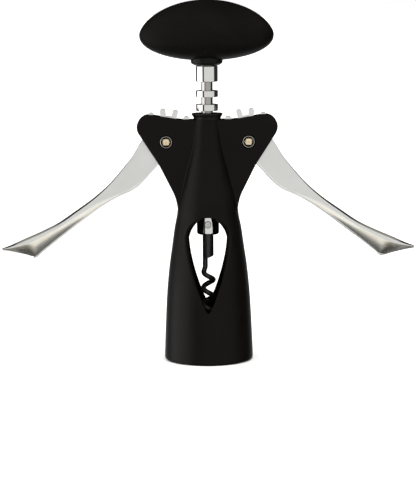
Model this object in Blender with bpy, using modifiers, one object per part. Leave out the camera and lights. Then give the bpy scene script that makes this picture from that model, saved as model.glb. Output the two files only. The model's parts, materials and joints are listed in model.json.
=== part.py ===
"""Lever corkscrew: a cast body, two toothed chrome levers, a ringed rack shaft with a worm, and a knob."""

import math

import bmesh
import bpy
from mathutils import Vector

MM = 0.001

# Rack and gear mesh.
RACK_PITCH = 7.35
TEETH_PER_TURN = 15
PITCH_RADIUS = RACK_PITCH * TEETH_PER_TURN / (2 * math.pi)
TOOTH_WIDTH = 3.0
TOOTH_TIP_RADIUS = 17.9
TOOTH_ROOT_RADIUS = 13.8
FIRST_TOOTH_DEG = 120.02
TOOTH_COUNT = 9
PLAIN_BOSS_RADIUS = 9.4

# Rack shaft.
SHAFT_RADIUS = 6.05
NECK_RADIUS = 3.15
RING_WIDTH = 3.6
RING_COUNT = 7
LOWEST_RING_Z = 100.83
SHAFT_BOTTOM_Z = 68.6
PLAIN_END_TOP_Z = 95.3
CYLINDER_BOTTOM_Z = 151.4
CYLINDER_RADIUS = 6.0
CYLINDER_TOP_Z = 159.9
TANG_RADIUS = 4.0
TANG_TOP_Z = 185.0
SOCKET_RADIUS = 3.15
SOCKET_TOP_Z = 81.5

# Body casting.
BORE_RADIUS = 6.35
CASTING_TOP_Z = 130.3
EAR_HALF_THICKNESS = 4.9
SLOT_HALF_WIDTH = 2.4
PIVOT_X = 22.25
PIVOT_Z = 119.2
WINDOW_TOP_Z = 79.3
WINDOW_WIDEST_Z = 67.5
WINDOW_BOTTOM_Z = 27.3
WINDOW_HALF_WIDTH = 12.1
WALL_RADIUS_AT_WIDEST = 19.1

# Pivots.
PIN_RADIUS = 1.95
PIN_HALF_LENGTH = 5.35
BUSH_BORE_RADIUS = 2.05
BUSH_RADIUS = 3.45
EAR_HOLE_RADIUS = 3.55
GROOVE_RADIUS = 3.1
GROOVE_DEPTH = 1.3

# Levers.
BLADE_HALF_THICKNESS = 2.1
ARM_HALF_THICKNESS = 2.04

# Guide bush.
BUSH_TOP_Z = 134.5
COLLAR_NECK_RADIUS = 7.15
COLLAR_RIM_RADIUS = 8.45
SPIGOT_RADIUS = 6.8
SPIGOT_BOTTOM_Z = 129.8

# Worm.
WIRE_RADIUS = 1.4
SHANK_RADIUS = 3.0
SHANK_BOTTOM_Z = 56.5
HELIX_RADIUS = 2.7
HELIX_PITCH = 9.0
HELIX_TOP_Z = 48.0
WORM_TIP_Z = 8.0
WORM_PIN_Z = 74.4
WORM_PIN_RADIUS = 1.7

# Knob.
KNOB_HALF_WIDTH = 36.2
KNOB_HALF_DEPTH = 18.0
KNOB_WIDEST_Z = 176.7
KNOB_TOP_Z = 195.4
KNOB_BOTTOM_Z = 162.7
KNOB_UPPER_POWER = 1.62
KNOB_LOWER_POWER = 2.2
GRIP_THICKNESS = 2.5
FERRULE_BOTTOM_Z = 160.1
FERRULE_RADIUS = 8.6
FERRULE_TOP_Z = 166.0
HANDLE_PIN_Z = 176.0
HANDLE_PIN_RADIUS = 1.5

# Seat ring.
SEAT_OUTER_RADIUS = 20.8
SEAT_MOUTH_RADIUS = 15.4
SEAT_LIP_RADIUS = 12.9
SEAT_BOTTOM_Z = 1.2
SEAT_SHOULDER_Z = 18.0
SEAT_TOP_Z = 20.5

# The exact solver leaves open edges in this casting's long chain of cuts.
CASTING_SOLVER = "MANIFOLD"

# Turned steps, one full turn.
FINE_STEPS = 48
ROUND_STEPS = 32
SMALL_STEPS = 16

for old in list(bpy.data.objects):
    bpy.data.objects.remove(old)

OBJECT = bpy.data.collections.new("lever_corkscrew")
CUTTERS = bpy.data.collections.new("cutters")
bpy.context.scene.collection.children.link(OBJECT)
bpy.context.scene.collection.children.link(CUTTERS)


# Shared steps.


def mesh_object(name, vertices, edges, faces, collection):
    """An object from points in millimetres."""
    mesh = bpy.data.meshes.new(name)
    mesh.from_pydata([Vector(point) * MM for point in vertices], edges, faces)
    obj = bpy.data.objects.new(name, mesh)
    collection.objects.link(obj)
    if collection is CUTTERS:
        obj.hide_render = True
        obj.display_type = "WIRE"
    return obj


def turned(name, profile, steps, collection):
    """A shape turned about Z. The profile is (radius, height), down the outer side first."""
    points = [(radius, 0.0, height) for radius, height in profile]
    edges = [(i, i + 1) for i in range(len(points) - 1)]
    if all(radius > 0 for radius, height in profile):
        edges.append((len(points) - 1, 0))
    obj = mesh_object(name, points, edges, [], collection)
    screw = obj.modifiers.new("Turn", "SCREW")
    screw.steps = steps
    screw.render_steps = steps
    screw.use_merge_vertices = True
    screw.merge_threshold = 0.00001
    return obj


def along_y(obj, x, z):
    """Lays a turned shape along Y, at a place in the XZ plane."""
    obj.location = (x * MM, 0.0, z * MM)
    obj.rotation_euler = (math.radians(90), 0.0, 0.0)
    return obj


def plate(name, outline, half_thickness, collection):
    """A flat plate in the XZ plane. The outline runs anticlockwise as seen from -Y."""
    count = len(outline)
    front = [(x, -half_thickness, z) for x, z in outline]
    rear = [(x, half_thickness, z) for x, z in outline]
    faces = [tuple(range(count)), tuple(range(2 * count - 1, count - 1, -1))]
    for i in range(count):
        after = (i + 1) % count
        faces.append((i, i + count, after + count, after))
    return mesh_object(name, front + rear, [], faces, collection)


def combine(target, other, operation, solver="EXACT"):
    """A Boolean of two objects. The other one stays as a hidden helper."""
    step = target.modifiers.new(other.name, "BOOLEAN")
    step.operation = operation
    step.object = other
    step.solver = solver
    return target


def cut(target, other, solver="EXACT"):
    return combine(target, other, "DIFFERENCE", solver)


def join(target, other, solver="EXACT"):
    return combine(target, other, "UNION", solver)


def arc(centre, radius, start_deg, end_deg, steps):
    """Points (x, z) along an arc."""
    points = []
    for i in range(steps + 1):
        angle = math.radians(start_deg + (end_deg - start_deg) * i / steps)
        points.append((centre[0] + radius * math.cos(angle), centre[1] + radius * math.sin(angle)))
    return points


def rounded(corners, steps=5):
    """An outline whose corners (x, z, radius) are rounded off with arcs."""
    outline = []
    count = len(corners)
    for i, (x, z, radius) in enumerate(corners):
        here = Vector((x, z))
        if radius == 0:
            outline.append((x, z))
            continue
        to_last = (Vector(corners[i - 1][:2]) - here).normalized()
        to_next = (Vector(corners[(i + 1) % count][:2]) - here).normalized()
        half_angle = to_last.angle(to_next) / 2
        centre = here + (to_last + to_next).normalized() * (radius / math.sin(half_angle))
        first = here + to_last * (radius / math.tan(half_angle)) - centre
        last = here + to_next * (radius / math.tan(half_angle)) - centre
        swing = first.angle_signed(last)
        for k in range(steps + 1):
            turn = -swing * k / steps
            cos, sin = math.cos(turn), math.sin(turn)
            x = centre.x + first.x * cos - first.y * sin
            outline.append((x, centre.y + first.x * sin + first.y * cos))
    return outline


def mirrored(outline):
    """The right half of an outline, from bottom to top, with its left half added."""
    return outline + [(-x, z) for x, z in reversed(outline)]


def material(name, colour, roughness, metallic):
    finish = bpy.data.materials.new(name)
    finish.use_nodes = True
    shader = finish.node_tree.nodes["Principled BSDF"]
    shader.inputs["Base Color"].default_value = (*colour, 1.0)
    shader.inputs["Roughness"].default_value = roughness
    shader.inputs["Metallic"].default_value = metallic
    finish.diffuse_color = (*colour, 1.0)
    return finish


def finish_part(obj, finish):
    """Gives a part its material, and shades its round faces smooth."""
    obj.data.materials.append(finish)
    for polygon in obj.data.polygons:
        polygon.use_smooth = True
    return obj


# Body casting: bell, waist and cone in one turned shape, with two ear plates joined on.


def ear_outline():
    """Both ears in one outline that passes through the cone."""
    right = rounded(
        [
            (0.0, 81.0, 0),
            (16.0, 81.5, 0),
            (17.3, 89.2, 25),
            (26.2, 107.0, 60),
            (45.2, 136.3, 6.7),
            (14.5, 131.3, 25),
            (0.0, 131.0, 0),
        ]
    )
    return mirrored(right[1:-1])


def slot_outline():
    """Room for the right lever: round its toothed hub, and open at the top and outer side."""
    pivot = (PIVOT_X, PIVOT_Z)
    hub_room = arc(pivot, TOOTH_TIP_RADIUS + 0.35, 180, 245, 10)
    return hub_room + [
        (13.3, 100.0),
        (15.75, 87.0),
        (17.0, 80.0),
        (17.6, 77.0),
        (60.0, 77.0),
        (60.0, 141.0),
        (hub_room[0][0], 141.0),
    ]


def window_half_width(z):
    """Half the width of the window: a round head over a long point."""
    if z >= WINDOW_WIDEST_Z:
        share = (z - WINDOW_WIDEST_Z) / (WINDOW_TOP_Z - WINDOW_WIDEST_Z)
        return WINDOW_HALF_WIDTH * math.sqrt(max(0.0, 1 - share**2))
    share = (WINDOW_WIDEST_Z - z) / (WINDOW_WIDEST_Z - WINDOW_BOTTOM_Z)
    return WINDOW_HALF_WIDTH * (1 - share**1.5) ** 0.9


def wall_y(x, z):
    """How far the casting's outer surface stands from the XZ plane beside the window."""
    taper = 0.1 if z < WINDOW_WIDEST_Z else 0.2
    radius = WALL_RADIUS_AT_WIDEST + taper * (WINDOW_WIDEST_Z - z)
    return math.sqrt(radius**2 - x**2)


def window_cutter(name, side):
    """A wedge that narrows towards the axis, so that the window's sides are cut square to the wall."""
    heights = [WINDOW_BOTTOM_Z + (WINDOW_WIDEST_Z - WINDOW_BOTTOM_Z) * i / 10 for i in range(11)]
    head = WINDOW_TOP_Z - WINDOW_WIDEST_Z
    heights += [WINDOW_WIDEST_Z + head * math.sin(math.radians(90 * i / 8)) for i in range(1, 9)]
    right = [(max(window_half_width(z), 0.7), z) for z in heights]
    outline = mirrored(right)
    outer_y = 27.0
    inner_y = 4.0
    count = len(outline)
    outer = [(x * outer_y / wall_y(x, z), side * outer_y, z) for x, z in outline]
    inner = [(x * inner_y / wall_y(x, z), side * inner_y, z) for x, z in outline]
    faces = [tuple(range(count)), tuple(range(2 * count - 1, count - 1, -1))]
    for i in range(count):
        after = (i + 1) % count
        faces.append((i, i + count, after + count, after))
    if side > 0:
        faces = [tuple(reversed(face)) for face in faces]
    return mesh_object(name, outer + inner, [], faces, CUTTERS)


def build_body():
    outer = [
        (0.0, CASTING_TOP_Z + 1.5),
        (7.4, CASTING_TOP_Z + 1.5),
        (7.8, 127.5),
        (8.9, 119.0),
        (10.0, 112.6),
        (13.0, 99.8),
        (15.9, 86.0),
        (16.25, 82.5),
        (16.8, 79.2),
        (18.2, 72.0),
        (19.75, 61.0),
        (21.2, 51.0),
        (22.45, 38.0),
        (23.15, 26.5),
        (23.65, 15.5),
        (24.05, 5.0),
        (24.1, 1.8),
        (23.8, 0.7),
        (23.1, 0.1),
        (22.6, 0.0),
        (0.0, 0.0),
    ]
    cavity = [
        (0.0, 141.0),
        (BORE_RADIUS, 141.0),
        (BORE_RADIUS, 82.0),
        (9.5, 80.6),
        (12.6, 76.5),
        (15.7, 68.5),
        (17.7, 59.0),
        (19.3, 49.0),
        (20.4, 38.0),
        (21.1, 26.0),
        (21.1, -2.0),
        (0.0, -2.0),
    ]
    body = turned("body_casting", outer, FINE_STEPS, OBJECT)
    ears = plate("ear_plates", ear_outline(), EAR_HALF_THICKNESS, CUTTERS)
    edge = ears.modifiers.new("Rounded edges", "BEVEL")
    edge.width = 0.7 * MM
    edge.segments = 2
    join(body, ears, CASTING_SOLVER)
    cut(body, turned("cavity", cavity, FINE_STEPS, CUTTERS), CASTING_SOLVER)
    slot = slot_outline()
    cut(body, plate("slot_right", slot, SLOT_HALF_WIDTH, CUTTERS), CASTING_SOLVER)
    other_slot = [(-x, z) for x, z in reversed(slot)]
    cut(body, plate("slot_left", other_slot, SLOT_HALF_WIDTH, CUTTERS), CASTING_SOLVER)
    cut(body, window_cutter("window_front", -1), CASTING_SOLVER)
    cut(body, window_cutter("window_rear", 1), CASTING_SOLVER)
    hole = [(0.0, 12.0), (EAR_HOLE_RADIUS, 12.0), (EAR_HOLE_RADIUS, -12.0), (0.0, -12.0)]
    for name, side in (("pivot_hole_left", -1), ("pivot_hole_right", 1)):
        cut(body, along_y(turned(name, hole, SMALL_STEPS, CUTTERS), side * PIVOT_X, PIVOT_Z), CASTING_SOLVER)
    relief = [
        (0.0, 141.0),
        (COLLAR_NECK_RADIUS + 0.3, 141.0),
        (COLLAR_NECK_RADIUS + 0.3, CASTING_TOP_Z),
        (SPIGOT_RADIUS + 0.2, CASTING_TOP_Z),
        (SPIGOT_RADIUS + 0.2, SPIGOT_BOTTOM_Z - 0.2),
        (0.0, SPIGOT_BOTTOM_Z - 0.2),
    ]
    cut(body, turned("bush_seat", relief, ROUND_STEPS, CUTTERS), CASTING_SOLVER)
    return finish_part(body, material("soft_touch_black", (0.012, 0.011, 0.011), 0.5, 0.0))


# Guide bush: the flared black collar that the rack shaft slides and turns in.


def build_guide_bush():
    profile = [
        (7.6, BUSH_TOP_Z),
        (8.2, BUSH_TOP_Z - 0.1),
        (COLLAR_RIM_RADIUS, BUSH_TOP_Z - 0.4),
        (COLLAR_RIM_RADIUS - 0.1, BUSH_TOP_Z - 0.9),
        (7.7, BUSH_TOP_Z - 1.8),
        (COLLAR_NECK_RADIUS, BUSH_TOP_Z - 2.8),
        (COLLAR_NECK_RADIUS, CASTING_TOP_Z + 0.2),
        (SPIGOT_RADIUS, CASTING_TOP_Z + 0.2),
        (SPIGOT_RADIUS, SPIGOT_BOTTOM_Z),
        (BORE_RADIUS, SPIGOT_BOTTOM_Z),
        (BORE_RADIUS, BUSH_TOP_Z - 0.4),
        (BORE_RADIUS + 0.4, BUSH_TOP_Z),
    ]
    bush = turned("top_guide_bush", profile, ROUND_STEPS, OBJECT)
    return finish_part(bush, material("black_nylon", (0.014, 0.013, 0.013), 0.4, 0.0))


# Seat ring: the liner in the bell that centres the bottle's neck under its lip.


def build_seat_ring():
    profile = [
        (17.5, SEAT_TOP_Z),
        (19.9, SEAT_TOP_Z - 0.6),
        (SEAT_OUTER_RADIUS, SEAT_TOP_Z - 1.6),
        (SEAT_OUTER_RADIUS, SEAT_BOTTOM_Z + 0.5),
        (SEAT_OUTER_RADIUS - 0.5, SEAT_BOTTOM_Z),
        (17.2, SEAT_BOTTOM_Z),
        (SEAT_MOUTH_RADIUS, SEAT_BOTTOM_Z + 3.0),
        (SEAT_MOUTH_RADIUS, SEAT_SHOULDER_Z),
        (SEAT_LIP_RADIUS, SEAT_SHOULDER_Z),
        (SEAT_LIP_RADIUS, SEAT_TOP_Z - 0.8),
        (SEAT_LIP_RADIUS + 0.8, SEAT_TOP_Z),
    ]
    ring = turned("bottle_seat_ring", profile, ROUND_STEPS, OBJECT)
    return finish_part(ring, material("dark_grey_nylon", (0.03, 0.03, 0.031), 0.45, 0.0))


# Pivots: a pin across each pair of ears, and a flanged bush in each ear.


def build_pivot_pin(name, side, finish):
    dome = 0.35
    profile = [
        (0.0, PIN_HALF_LENGTH),
        (1.3, PIN_HALF_LENGTH - 0.08),
        (PIN_RADIUS, PIN_HALF_LENGTH - dome),
        (PIN_RADIUS, dome - PIN_HALF_LENGTH),
        (1.3, 0.08 - PIN_HALF_LENGTH),
        (0.0, -PIN_HALF_LENGTH),
    ]
    pin = along_y(turned(name, profile, SMALL_STEPS, OBJECT), side * PIVOT_X, PIVOT_Z)
    return finish_part(pin, finish)


def build_pivot_bush(name, side, facing, finish):
    """A ring in one ear. Its outer face has a groove round the pin's end."""
    inner_face = SLOT_HALF_WIDTH + 0.1
    outer_face = EAR_HALF_THICKNESS + 0.25
    groove_floor = outer_face - GROOVE_DEPTH
    profile = [
        (BUSH_RADIUS, outer_face - 0.1),
        (BUSH_RADIUS, inner_face),
        (BUSH_BORE_RADIUS, inner_face),
        (BUSH_BORE_RADIUS, groove_floor),
        (GROOVE_RADIUS, groove_floor),
        (GROOVE_RADIUS, outer_face),
        (BUSH_RADIUS - 0.1, outer_face),
    ]
    bush = along_y(turned(name, profile, SMALL_STEPS, OBJECT), side * PIVOT_X, PIVOT_Z)
    if facing > 0:
        bush.rotation_euler = (math.radians(-90), 0.0, 0.0)
    return finish_part(bush, finish)


# Levers: a toothed hub plate and an arm that grows from a blade into a hollow leaf.

# Right arm, from hub to tip: (top x, top z, bottom x, bottom z, half width at the bottom,
# share of the height where the side starts to flare, depth of the hollow underneath).
ARM_STATIONS = [
    (9, 3.5, 3, -11, 2.04, 0.6, 0),
    (13.2, 0.6, 8.6, -17.1, 2.04, 0.6, 0),
    (18.5, -8.0, 13.3, -22.2, 2.04, 0.6, 0),
    (24, -14.8, 18.4, -26.1, 2.04, 0.6, 0),
    (30.6, -22.3, 26, -29.5, 2.1, 0.6, 0),
    (35.6, -26.9, 31.4, -32.4, 2.6, 0.58, 0),
    (41.3, -31.5, 37.7, -36.4, 3.5, 0.42, 0.3),
    (49.7, -37.4, 46, -42.4, 5.1, 0.38, 0.9),
    (58.8, -43.6, 54.5, -48.8, 7.1, 0.3, 1.7),
    (66.4, -47.5, 62, -54.5, 9.4, 0.26, 3),
    (71.5, -49.8, 66.8, -58.2, 11.1, 0.25, 4),
    (76, -51.7, 70.6, -61.1, 12.4, 0.25, 4.6),
    (80, -53.5, 75.8, -60.4, 9.8, 0.27, 3.2),
    (84, -55.3, 80.8, -59.6, 7.2, 0.32, 1.8),
    (87.4, -56.7, 85.8, -58.9, 4.6, 0.4, 0.6),
    (89.9, -57.5, 89.6, -58.75, 2.6, 0.5, 0.1),
]
FLANK_STEPS = 3
EDGE_THICKNESS = 0.9


def arm_section(station):
    """One closed ring of points round the arm, starting at the top and going down its front."""
    top_x, top_z, foot_x, foot_z, half_width, flare_share, hollow = station
    top = Vector((top_x, top_z))
    foot = Vector((foot_x, foot_z))
    height = (foot - top).length
    down = (foot - top) / height
    edge = min(EDGE_THICKNESS, 0.3 * height)
    strip = flare_share * height
    half = min(ARM_HALF_THICKNESS, 0.9 * half_width)
    side = [(half, 0.0), (half, strip)]
    for i in range(1, FLANK_STEPS + 1):
        share = i / FLANK_STEPS
        width = half + (half_width - half) * share**1.6
        depth = strip + (height - edge - strip) * (1 - (1 - share) ** 1.5)
        side.append((width, depth))
    side.append((half_width - 0.25 * edge, height))
    side.append((0.72 * half_width, height - 0.25 * hollow))
    side.append((0.40 * half_width, height - 0.80 * hollow))
    ring = [(-width, depth) for width, depth in side]
    ring.append((0.0, height - hollow))
    ring += [(width, depth) for width, depth in reversed(side)]
    return [(top.x + down.x * depth, width, top.y + down.y * depth) for width, depth in ring]


def build_arm(name):
    rings = [arm_section(station) for station in ARM_STATIONS]
    around = len(rings[0])
    vertices = [point for ring in rings for point in ring]
    faces = [tuple(range(around - 1, -1, -1))]
    for i in range(len(rings) - 1):
        for k in range(around):
            after = (k + 1) % around
            a = i * around
            b = a + around
            faces.append((a + k, a + after, b + after, b + k))
    last = (len(rings) - 1) * around
    faces.append(tuple(range(last, last + around)))
    return mesh_object(name, vertices, [], faces, CUTTERS)


def hub_outline():
    """The toothed hub: fingers with round tips on a boss that is smaller where it has none. Anticlockwise."""
    outline = []
    spacing = 360 / TEETH_PER_TURN
    half = TOOTH_WIDTH / 2
    for i in range(TOOTH_COUNT):
        direction = math.radians(180 - FIRST_TOOTH_DEG + spacing * i)
        ahead = Vector((math.cos(direction), math.sin(direction)))
        across = Vector((-ahead.y, ahead.x))
        root = math.sqrt(TOOTH_ROOT_RADIUS**2 - half**2)
        tip_centre = TOOTH_TIP_RADIUS - half
        outline.append(ahead * root - across * half)
        for k in range(9):
            swing = math.radians(-90 + 180 * k / 8)
            outline.append(ahead * (tip_centre + half * math.cos(swing)) + across * half * math.sin(swing))
        outline.append(ahead * root + across * half)
        if i < TOOTH_COUNT - 1:
            middle = direction + math.radians(spacing / 2)
            outline.append(Vector((math.cos(middle), math.sin(middle))) * TOOTH_ROOT_RADIUS)
    start = 180 - FIRST_TOOTH_DEG + spacing * TOOTH_COUNT
    end = 360 + 180 - FIRST_TOOTH_DEG - spacing
    outline += arc((0.0, 0.0), PLAIN_BOSS_RADIUS, start, end, 10)
    return [(point[0], point[1]) for point in outline]


def build_lever(name, side, finish):
    lever = plate(name, hub_outline(), BLADE_HALF_THICKNESS, OBJECT)
    arm = build_arm(name + "_arm")
    join(lever, arm)
    hole = turned(name + "_hole", [(0.0, 8.0), (2.1, 8.0), (2.1, -8.0), (0.0, -8.0)], SMALL_STEPS, CUTTERS)
    hole.rotation_euler = (math.radians(90), 0.0, 0.0)
    cut(lever, hole)
    for piece in (lever, arm, hole):
        piece.location = (side * PIVOT_X * MM, 0.0, PIVOT_Z * MM)
    if side < 0:
        lever.rotation_euler = (0.0, 0.0, math.pi)
        arm.rotation_euler = (0.0, 0.0, math.pi)
    return finish_part(lever, finish)


# Rack shaft: rings cut round a chrome spindle, a plain socketed end below and a tang above.


def build_rack_shaft():
    chamfer = 0.45
    profile = [
        (0.0, TANG_TOP_Z),
        (TANG_RADIUS - chamfer, TANG_TOP_Z),
        (TANG_RADIUS, TANG_TOP_Z - chamfer),
        (TANG_RADIUS, CYLINDER_TOP_Z),
        (CYLINDER_RADIUS - 0.3, CYLINDER_TOP_Z),
        (CYLINDER_RADIUS, CYLINDER_TOP_Z - 0.3),
        (CYLINDER_RADIUS, CYLINDER_BOTTOM_Z + chamfer),
        (CYLINDER_RADIUS - chamfer, CYLINDER_BOTTOM_Z),
        (NECK_RADIUS, CYLINDER_BOTTOM_Z),
    ]
    for i in reversed(range(RING_COUNT)):
        centre = LOWEST_RING_Z + i * RACK_PITCH
        top = centre + RING_WIDTH / 2
        bottom = centre - RING_WIDTH / 2
        profile += [
            (NECK_RADIUS, top),
            (SHAFT_RADIUS - chamfer, top),
            (SHAFT_RADIUS, top - chamfer),
            (SHAFT_RADIUS, bottom + chamfer),
            (SHAFT_RADIUS - chamfer, bottom),
            (NECK_RADIUS, bottom),
        ]
    profile += [
        (NECK_RADIUS, PLAIN_END_TOP_Z),
        (SHAFT_RADIUS - chamfer, PLAIN_END_TOP_Z),
        (SHAFT_RADIUS, PLAIN_END_TOP_Z - chamfer),
        (SHAFT_RADIUS, SHAFT_BOTTOM_Z + 1.3),
        (SHAFT_RADIUS - 0.4, SHAFT_BOTTOM_Z + 0.4),
        (SHAFT_RADIUS - 1.3, SHAFT_BOTTOM_Z),
        (SOCKET_RADIUS, SHAFT_BOTTOM_Z),
        (SOCKET_RADIUS, SOCKET_TOP_Z - 1.5),
        (0.0, SOCKET_TOP_Z),
    ]
    shaft = turned("rack_shaft", profile, ROUND_STEPS, OBJECT)
    hole = cross_hole("worm_pin_hole", WORM_PIN_RADIUS + 0.1)
    cut(shaft, along_y(hole, 0.0, WORM_PIN_Z))
    tang_hole = cross_hole("handle_pin_hole", HANDLE_PIN_RADIUS + 0.1)
    cut(shaft, along_y(tang_hole, 0.0, HANDLE_PIN_Z))
    return finish_part(shaft, material("chrome", (0.75, 0.75, 0.76), 0.08, 1.0))


def cross_hole(name, radius):
    return turned(name, [(0.0, 30.0), (radius, 30.0), (radius, -30.0), (0.0, -30.0)], SMALL_STEPS, CUTTERS)


# Worm: a shank cut away to one side, from which the wire runs down into an open helix.


def build_worm():
    shank = turned(
        "worm",
        [
            (0.0, SOCKET_TOP_Z - 2.2),
            (SHANK_RADIUS - 0.5, SOCKET_TOP_Z - 2.2),
            (SHANK_RADIUS, SOCKET_TOP_Z - 2.7),
            (SHANK_RADIUS, SHANK_BOTTOM_Z - 1.2),
            (0.0, SHANK_BOTTOM_Z - 1.2),
        ],
        SMALL_STEPS,
        OBJECT,
    )
    step = plate(
        "worm_step",
        [
            (-0.5, SHANK_BOTTOM_Z - 4.0),
            (6.0, SHANK_BOTTOM_Z - 4.0),
            (6.0, SHANK_BOTTOM_Z + 1.6),
            (-0.5, SHANK_BOTTOM_Z - 0.9),
        ],
        6.0,
        CUTTERS,
    )
    cut(shank, step)
    wire = bpy.data.curves.new("worm_wire", "CURVE")
    wire.dimensions = "3D"
    wire.bevel_depth = WIRE_RADIUS * MM
    wire.bevel_resolution = 2
    wire.use_fill_caps = True
    drop = WIRE_RADIUS - SHANK_RADIUS
    path = [(drop, 0.0, SHANK_BOTTOM_Z + 3.0, 1.0), (drop, 0.0, HELIX_TOP_Z + 3.0, 1.0)]
    path += [(drop - 0.15, 0.0, HELIX_TOP_Z + 1.8, 1.0), (drop - 0.6, 0.0, HELIX_TOP_Z + 0.7, 1.0)]
    steps_per_turn = 14
    turns = (HELIX_TOP_Z - WORM_TIP_Z) / HELIX_PITCH
    steps = round(turns * steps_per_turn)
    taper_steps = 9
    for i in range(steps + 1):
        angle = math.pi + 2 * math.pi * turns * i / steps
        left = steps - i
        radius = 1.0 if left > taper_steps else 0.08 + 0.92 * left / taper_steps
        path.append(
            (
                HELIX_RADIUS * math.cos(angle),
                HELIX_RADIUS * math.sin(angle),
                HELIX_TOP_Z + (WORM_TIP_Z - HELIX_TOP_Z) * i / steps,
                radius,
            )
        )
    spline = wire.splines.new("POLY")
    spline.points.add(len(path) - 1)
    for point, (x, y, z, radius) in zip(spline.points, path):
        point.co = (x * MM, y * MM, z * MM, 1.0)
        point.radius = radius
    curve = bpy.data.objects.new("worm_wire", wire)
    OBJECT.objects.link(curve)
    helix = mesh_from_curve(curve)
    join(shank, helix)
    cut(shank, along_y(cross_hole("worm_shank_hole", WORM_PIN_RADIUS + 0.1), 0.0, WORM_PIN_Z))
    return finish_part(shank, material("dark_non_stick", (0.02, 0.019, 0.018), 0.45, 0.2))


def mesh_from_curve(curve):
    """A curve's solid as a mesh with its caps welded on, kept as a hidden helper."""
    graph = bpy.context.evaluated_depsgraph_get()
    mesh = bpy.data.meshes.new_from_object(curve.evaluated_get(graph))
    welded = bmesh.new()
    welded.from_mesh(mesh)
    bmesh.ops.remove_doubles(welded, verts=welded.verts, dist=0.000001)
    welded.to_mesh(mesh)
    welded.free()
    obj = bpy.data.objects.new(curve.name + "_solid", mesh)
    obj.matrix_world = curve.matrix_world
    CUTTERS.objects.link(obj)
    obj.hide_render = True
    obj.display_type = "WIRE"
    bpy.data.objects.remove(curve)
    return obj


# Cross pins: one holds the worm in the shaft, the other holds the shaft in the knob.


def build_cross_pin(name, radius, half_length, z, finish):
    profile = [
        (0.0, half_length),
        (radius - 0.3, half_length),
        (radius, half_length - 0.3),
        (radius, 0.3 - half_length),
        (radius - 0.3, -half_length),
        (0.0, -half_length),
    ]
    pin = along_y(turned(name, profile, SMALL_STEPS, OBJECT), 0.0, z)
    return finish_part(pin, finish)


# Knob: an oval soft grip over a hard core, with a flared ferrule under it.


def oval(name, inset, across, down, collection):
    """An oval body, taller and leaner above its widest line than below, shrunk all round by the inset."""
    rows = []
    upper = KNOB_TOP_Z - KNOB_WIDEST_Z - inset
    lower = KNOB_WIDEST_Z - KNOB_BOTTOM_Z - inset
    vertices = [(0.0, 0.0, KNOB_WIDEST_Z + upper)]
    for i in range(1, down):
        height = math.cos(math.pi * i / down)
        power = KNOB_UPPER_POWER if height > 0 else KNOB_LOWER_POWER
        breadth = math.sqrt(1 - abs(height) ** power)
        for k in range(across):
            angle = 2 * math.pi * k / across
            vertices.append(
                (
                    (KNOB_HALF_WIDTH - inset) * breadth * math.cos(angle),
                    (KNOB_HALF_DEPTH - inset) * breadth * math.sin(angle),
                    KNOB_WIDEST_Z + height * (upper if height > 0 else lower),
                )
            )
        rows.append(range(1 + (i - 1) * across, 1 + i * across))
    vertices.append((0.0, 0.0, KNOB_WIDEST_Z - lower))
    bottom = len(vertices) - 1
    faces = []
    for k in range(across):
        after = (k + 1) % across
        faces.append((0, rows[0][k], rows[0][after]))
        faces.append((bottom, rows[-1][after], rows[-1][k]))
        for above, below in zip(rows, rows[1:]):
            faces.append((above[k], below[k], below[after], above[after]))
    return mesh_object(name, vertices, [], faces, collection)


def shaft_room(name, radius, top_z):
    return turned(
        name,
        [(0.0, top_z), (radius, top_z), (radius, FERRULE_BOTTOM_Z - 9.0), (0.0, FERRULE_BOTTOM_Z - 9.0)],
        ROUND_STEPS,
        CUTTERS,
    )


def build_knob_grip():
    grip = oval("knob_grip", 0.0, 40, 22, OBJECT)
    cut(grip, oval("core_room", GRIP_THICKNESS, 24, 14, CUTTERS))
    cut(grip, shaft_room("ferrule_room", FERRULE_RADIUS + 0.15, KNOB_WIDEST_Z))
    return finish_part(grip, material("soft_touch_grip", (0.013, 0.012, 0.012), 0.5, 0.0))


def build_knob_core():
    core = oval("knob_core", GRIP_THICKNESS + 0.3, 24, 14, OBJECT)
    cut(core, shaft_room("ferrule_socket", FERRULE_RADIUS + 0.15, FERRULE_TOP_Z + 0.3))
    cut(core, shaft_room("tang_socket", TANG_RADIUS + 0.15, TANG_TOP_Z + 0.5))
    cut(core, along_y(cross_hole("core_pin_hole", HANDLE_PIN_RADIUS + 0.1), 0.0, HANDLE_PIN_Z))
    return finish_part(core, material("core_plastic", (0.03, 0.03, 0.03), 0.5, 0.0))


def build_ferrule():
    bore = TANG_RADIUS + 0.15
    profile = [
        (FERRULE_RADIUS, FERRULE_TOP_Z),
        (FERRULE_RADIUS, FERRULE_BOTTOM_Z + 2.0),
        (FERRULE_RADIUS - 0.2, FERRULE_BOTTOM_Z + 1.3),
        (7.5, FERRULE_BOTTOM_Z + 0.5),
        (6.2, FERRULE_BOTTOM_Z),
        (bore, FERRULE_BOTTOM_Z),
        (bore, FERRULE_TOP_Z),
    ]
    ferrule = turned("knob_ferrule", profile, ROUND_STEPS, OBJECT)
    return finish_part(ferrule, material("black_ferrule", (0.012, 0.012, 0.012), 0.3, 0.0))


build_body()
build_guide_bush()
build_seat_ring()

pin_brass = material("pale_brass", (0.66, 0.55, 0.34), 0.3, 1.0)
bush_steel = material("bush_steel", (0.45, 0.45, 0.44), 0.3, 1.0)
lever_chrome = material("satin_chrome", (0.72, 0.72, 0.70), 0.25, 1.0)
for word, direction in (("left", -1), ("right", 1)):
    build_lever("lever_" + word, direction, lever_chrome)
    build_pivot_pin("pivot_pin_" + word, direction, pin_brass)
    build_pivot_bush("pivot_bush_front_" + word, direction, -1, bush_steel)
    build_pivot_bush("pivot_bush_rear_" + word, direction, 1, bush_steel)

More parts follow.
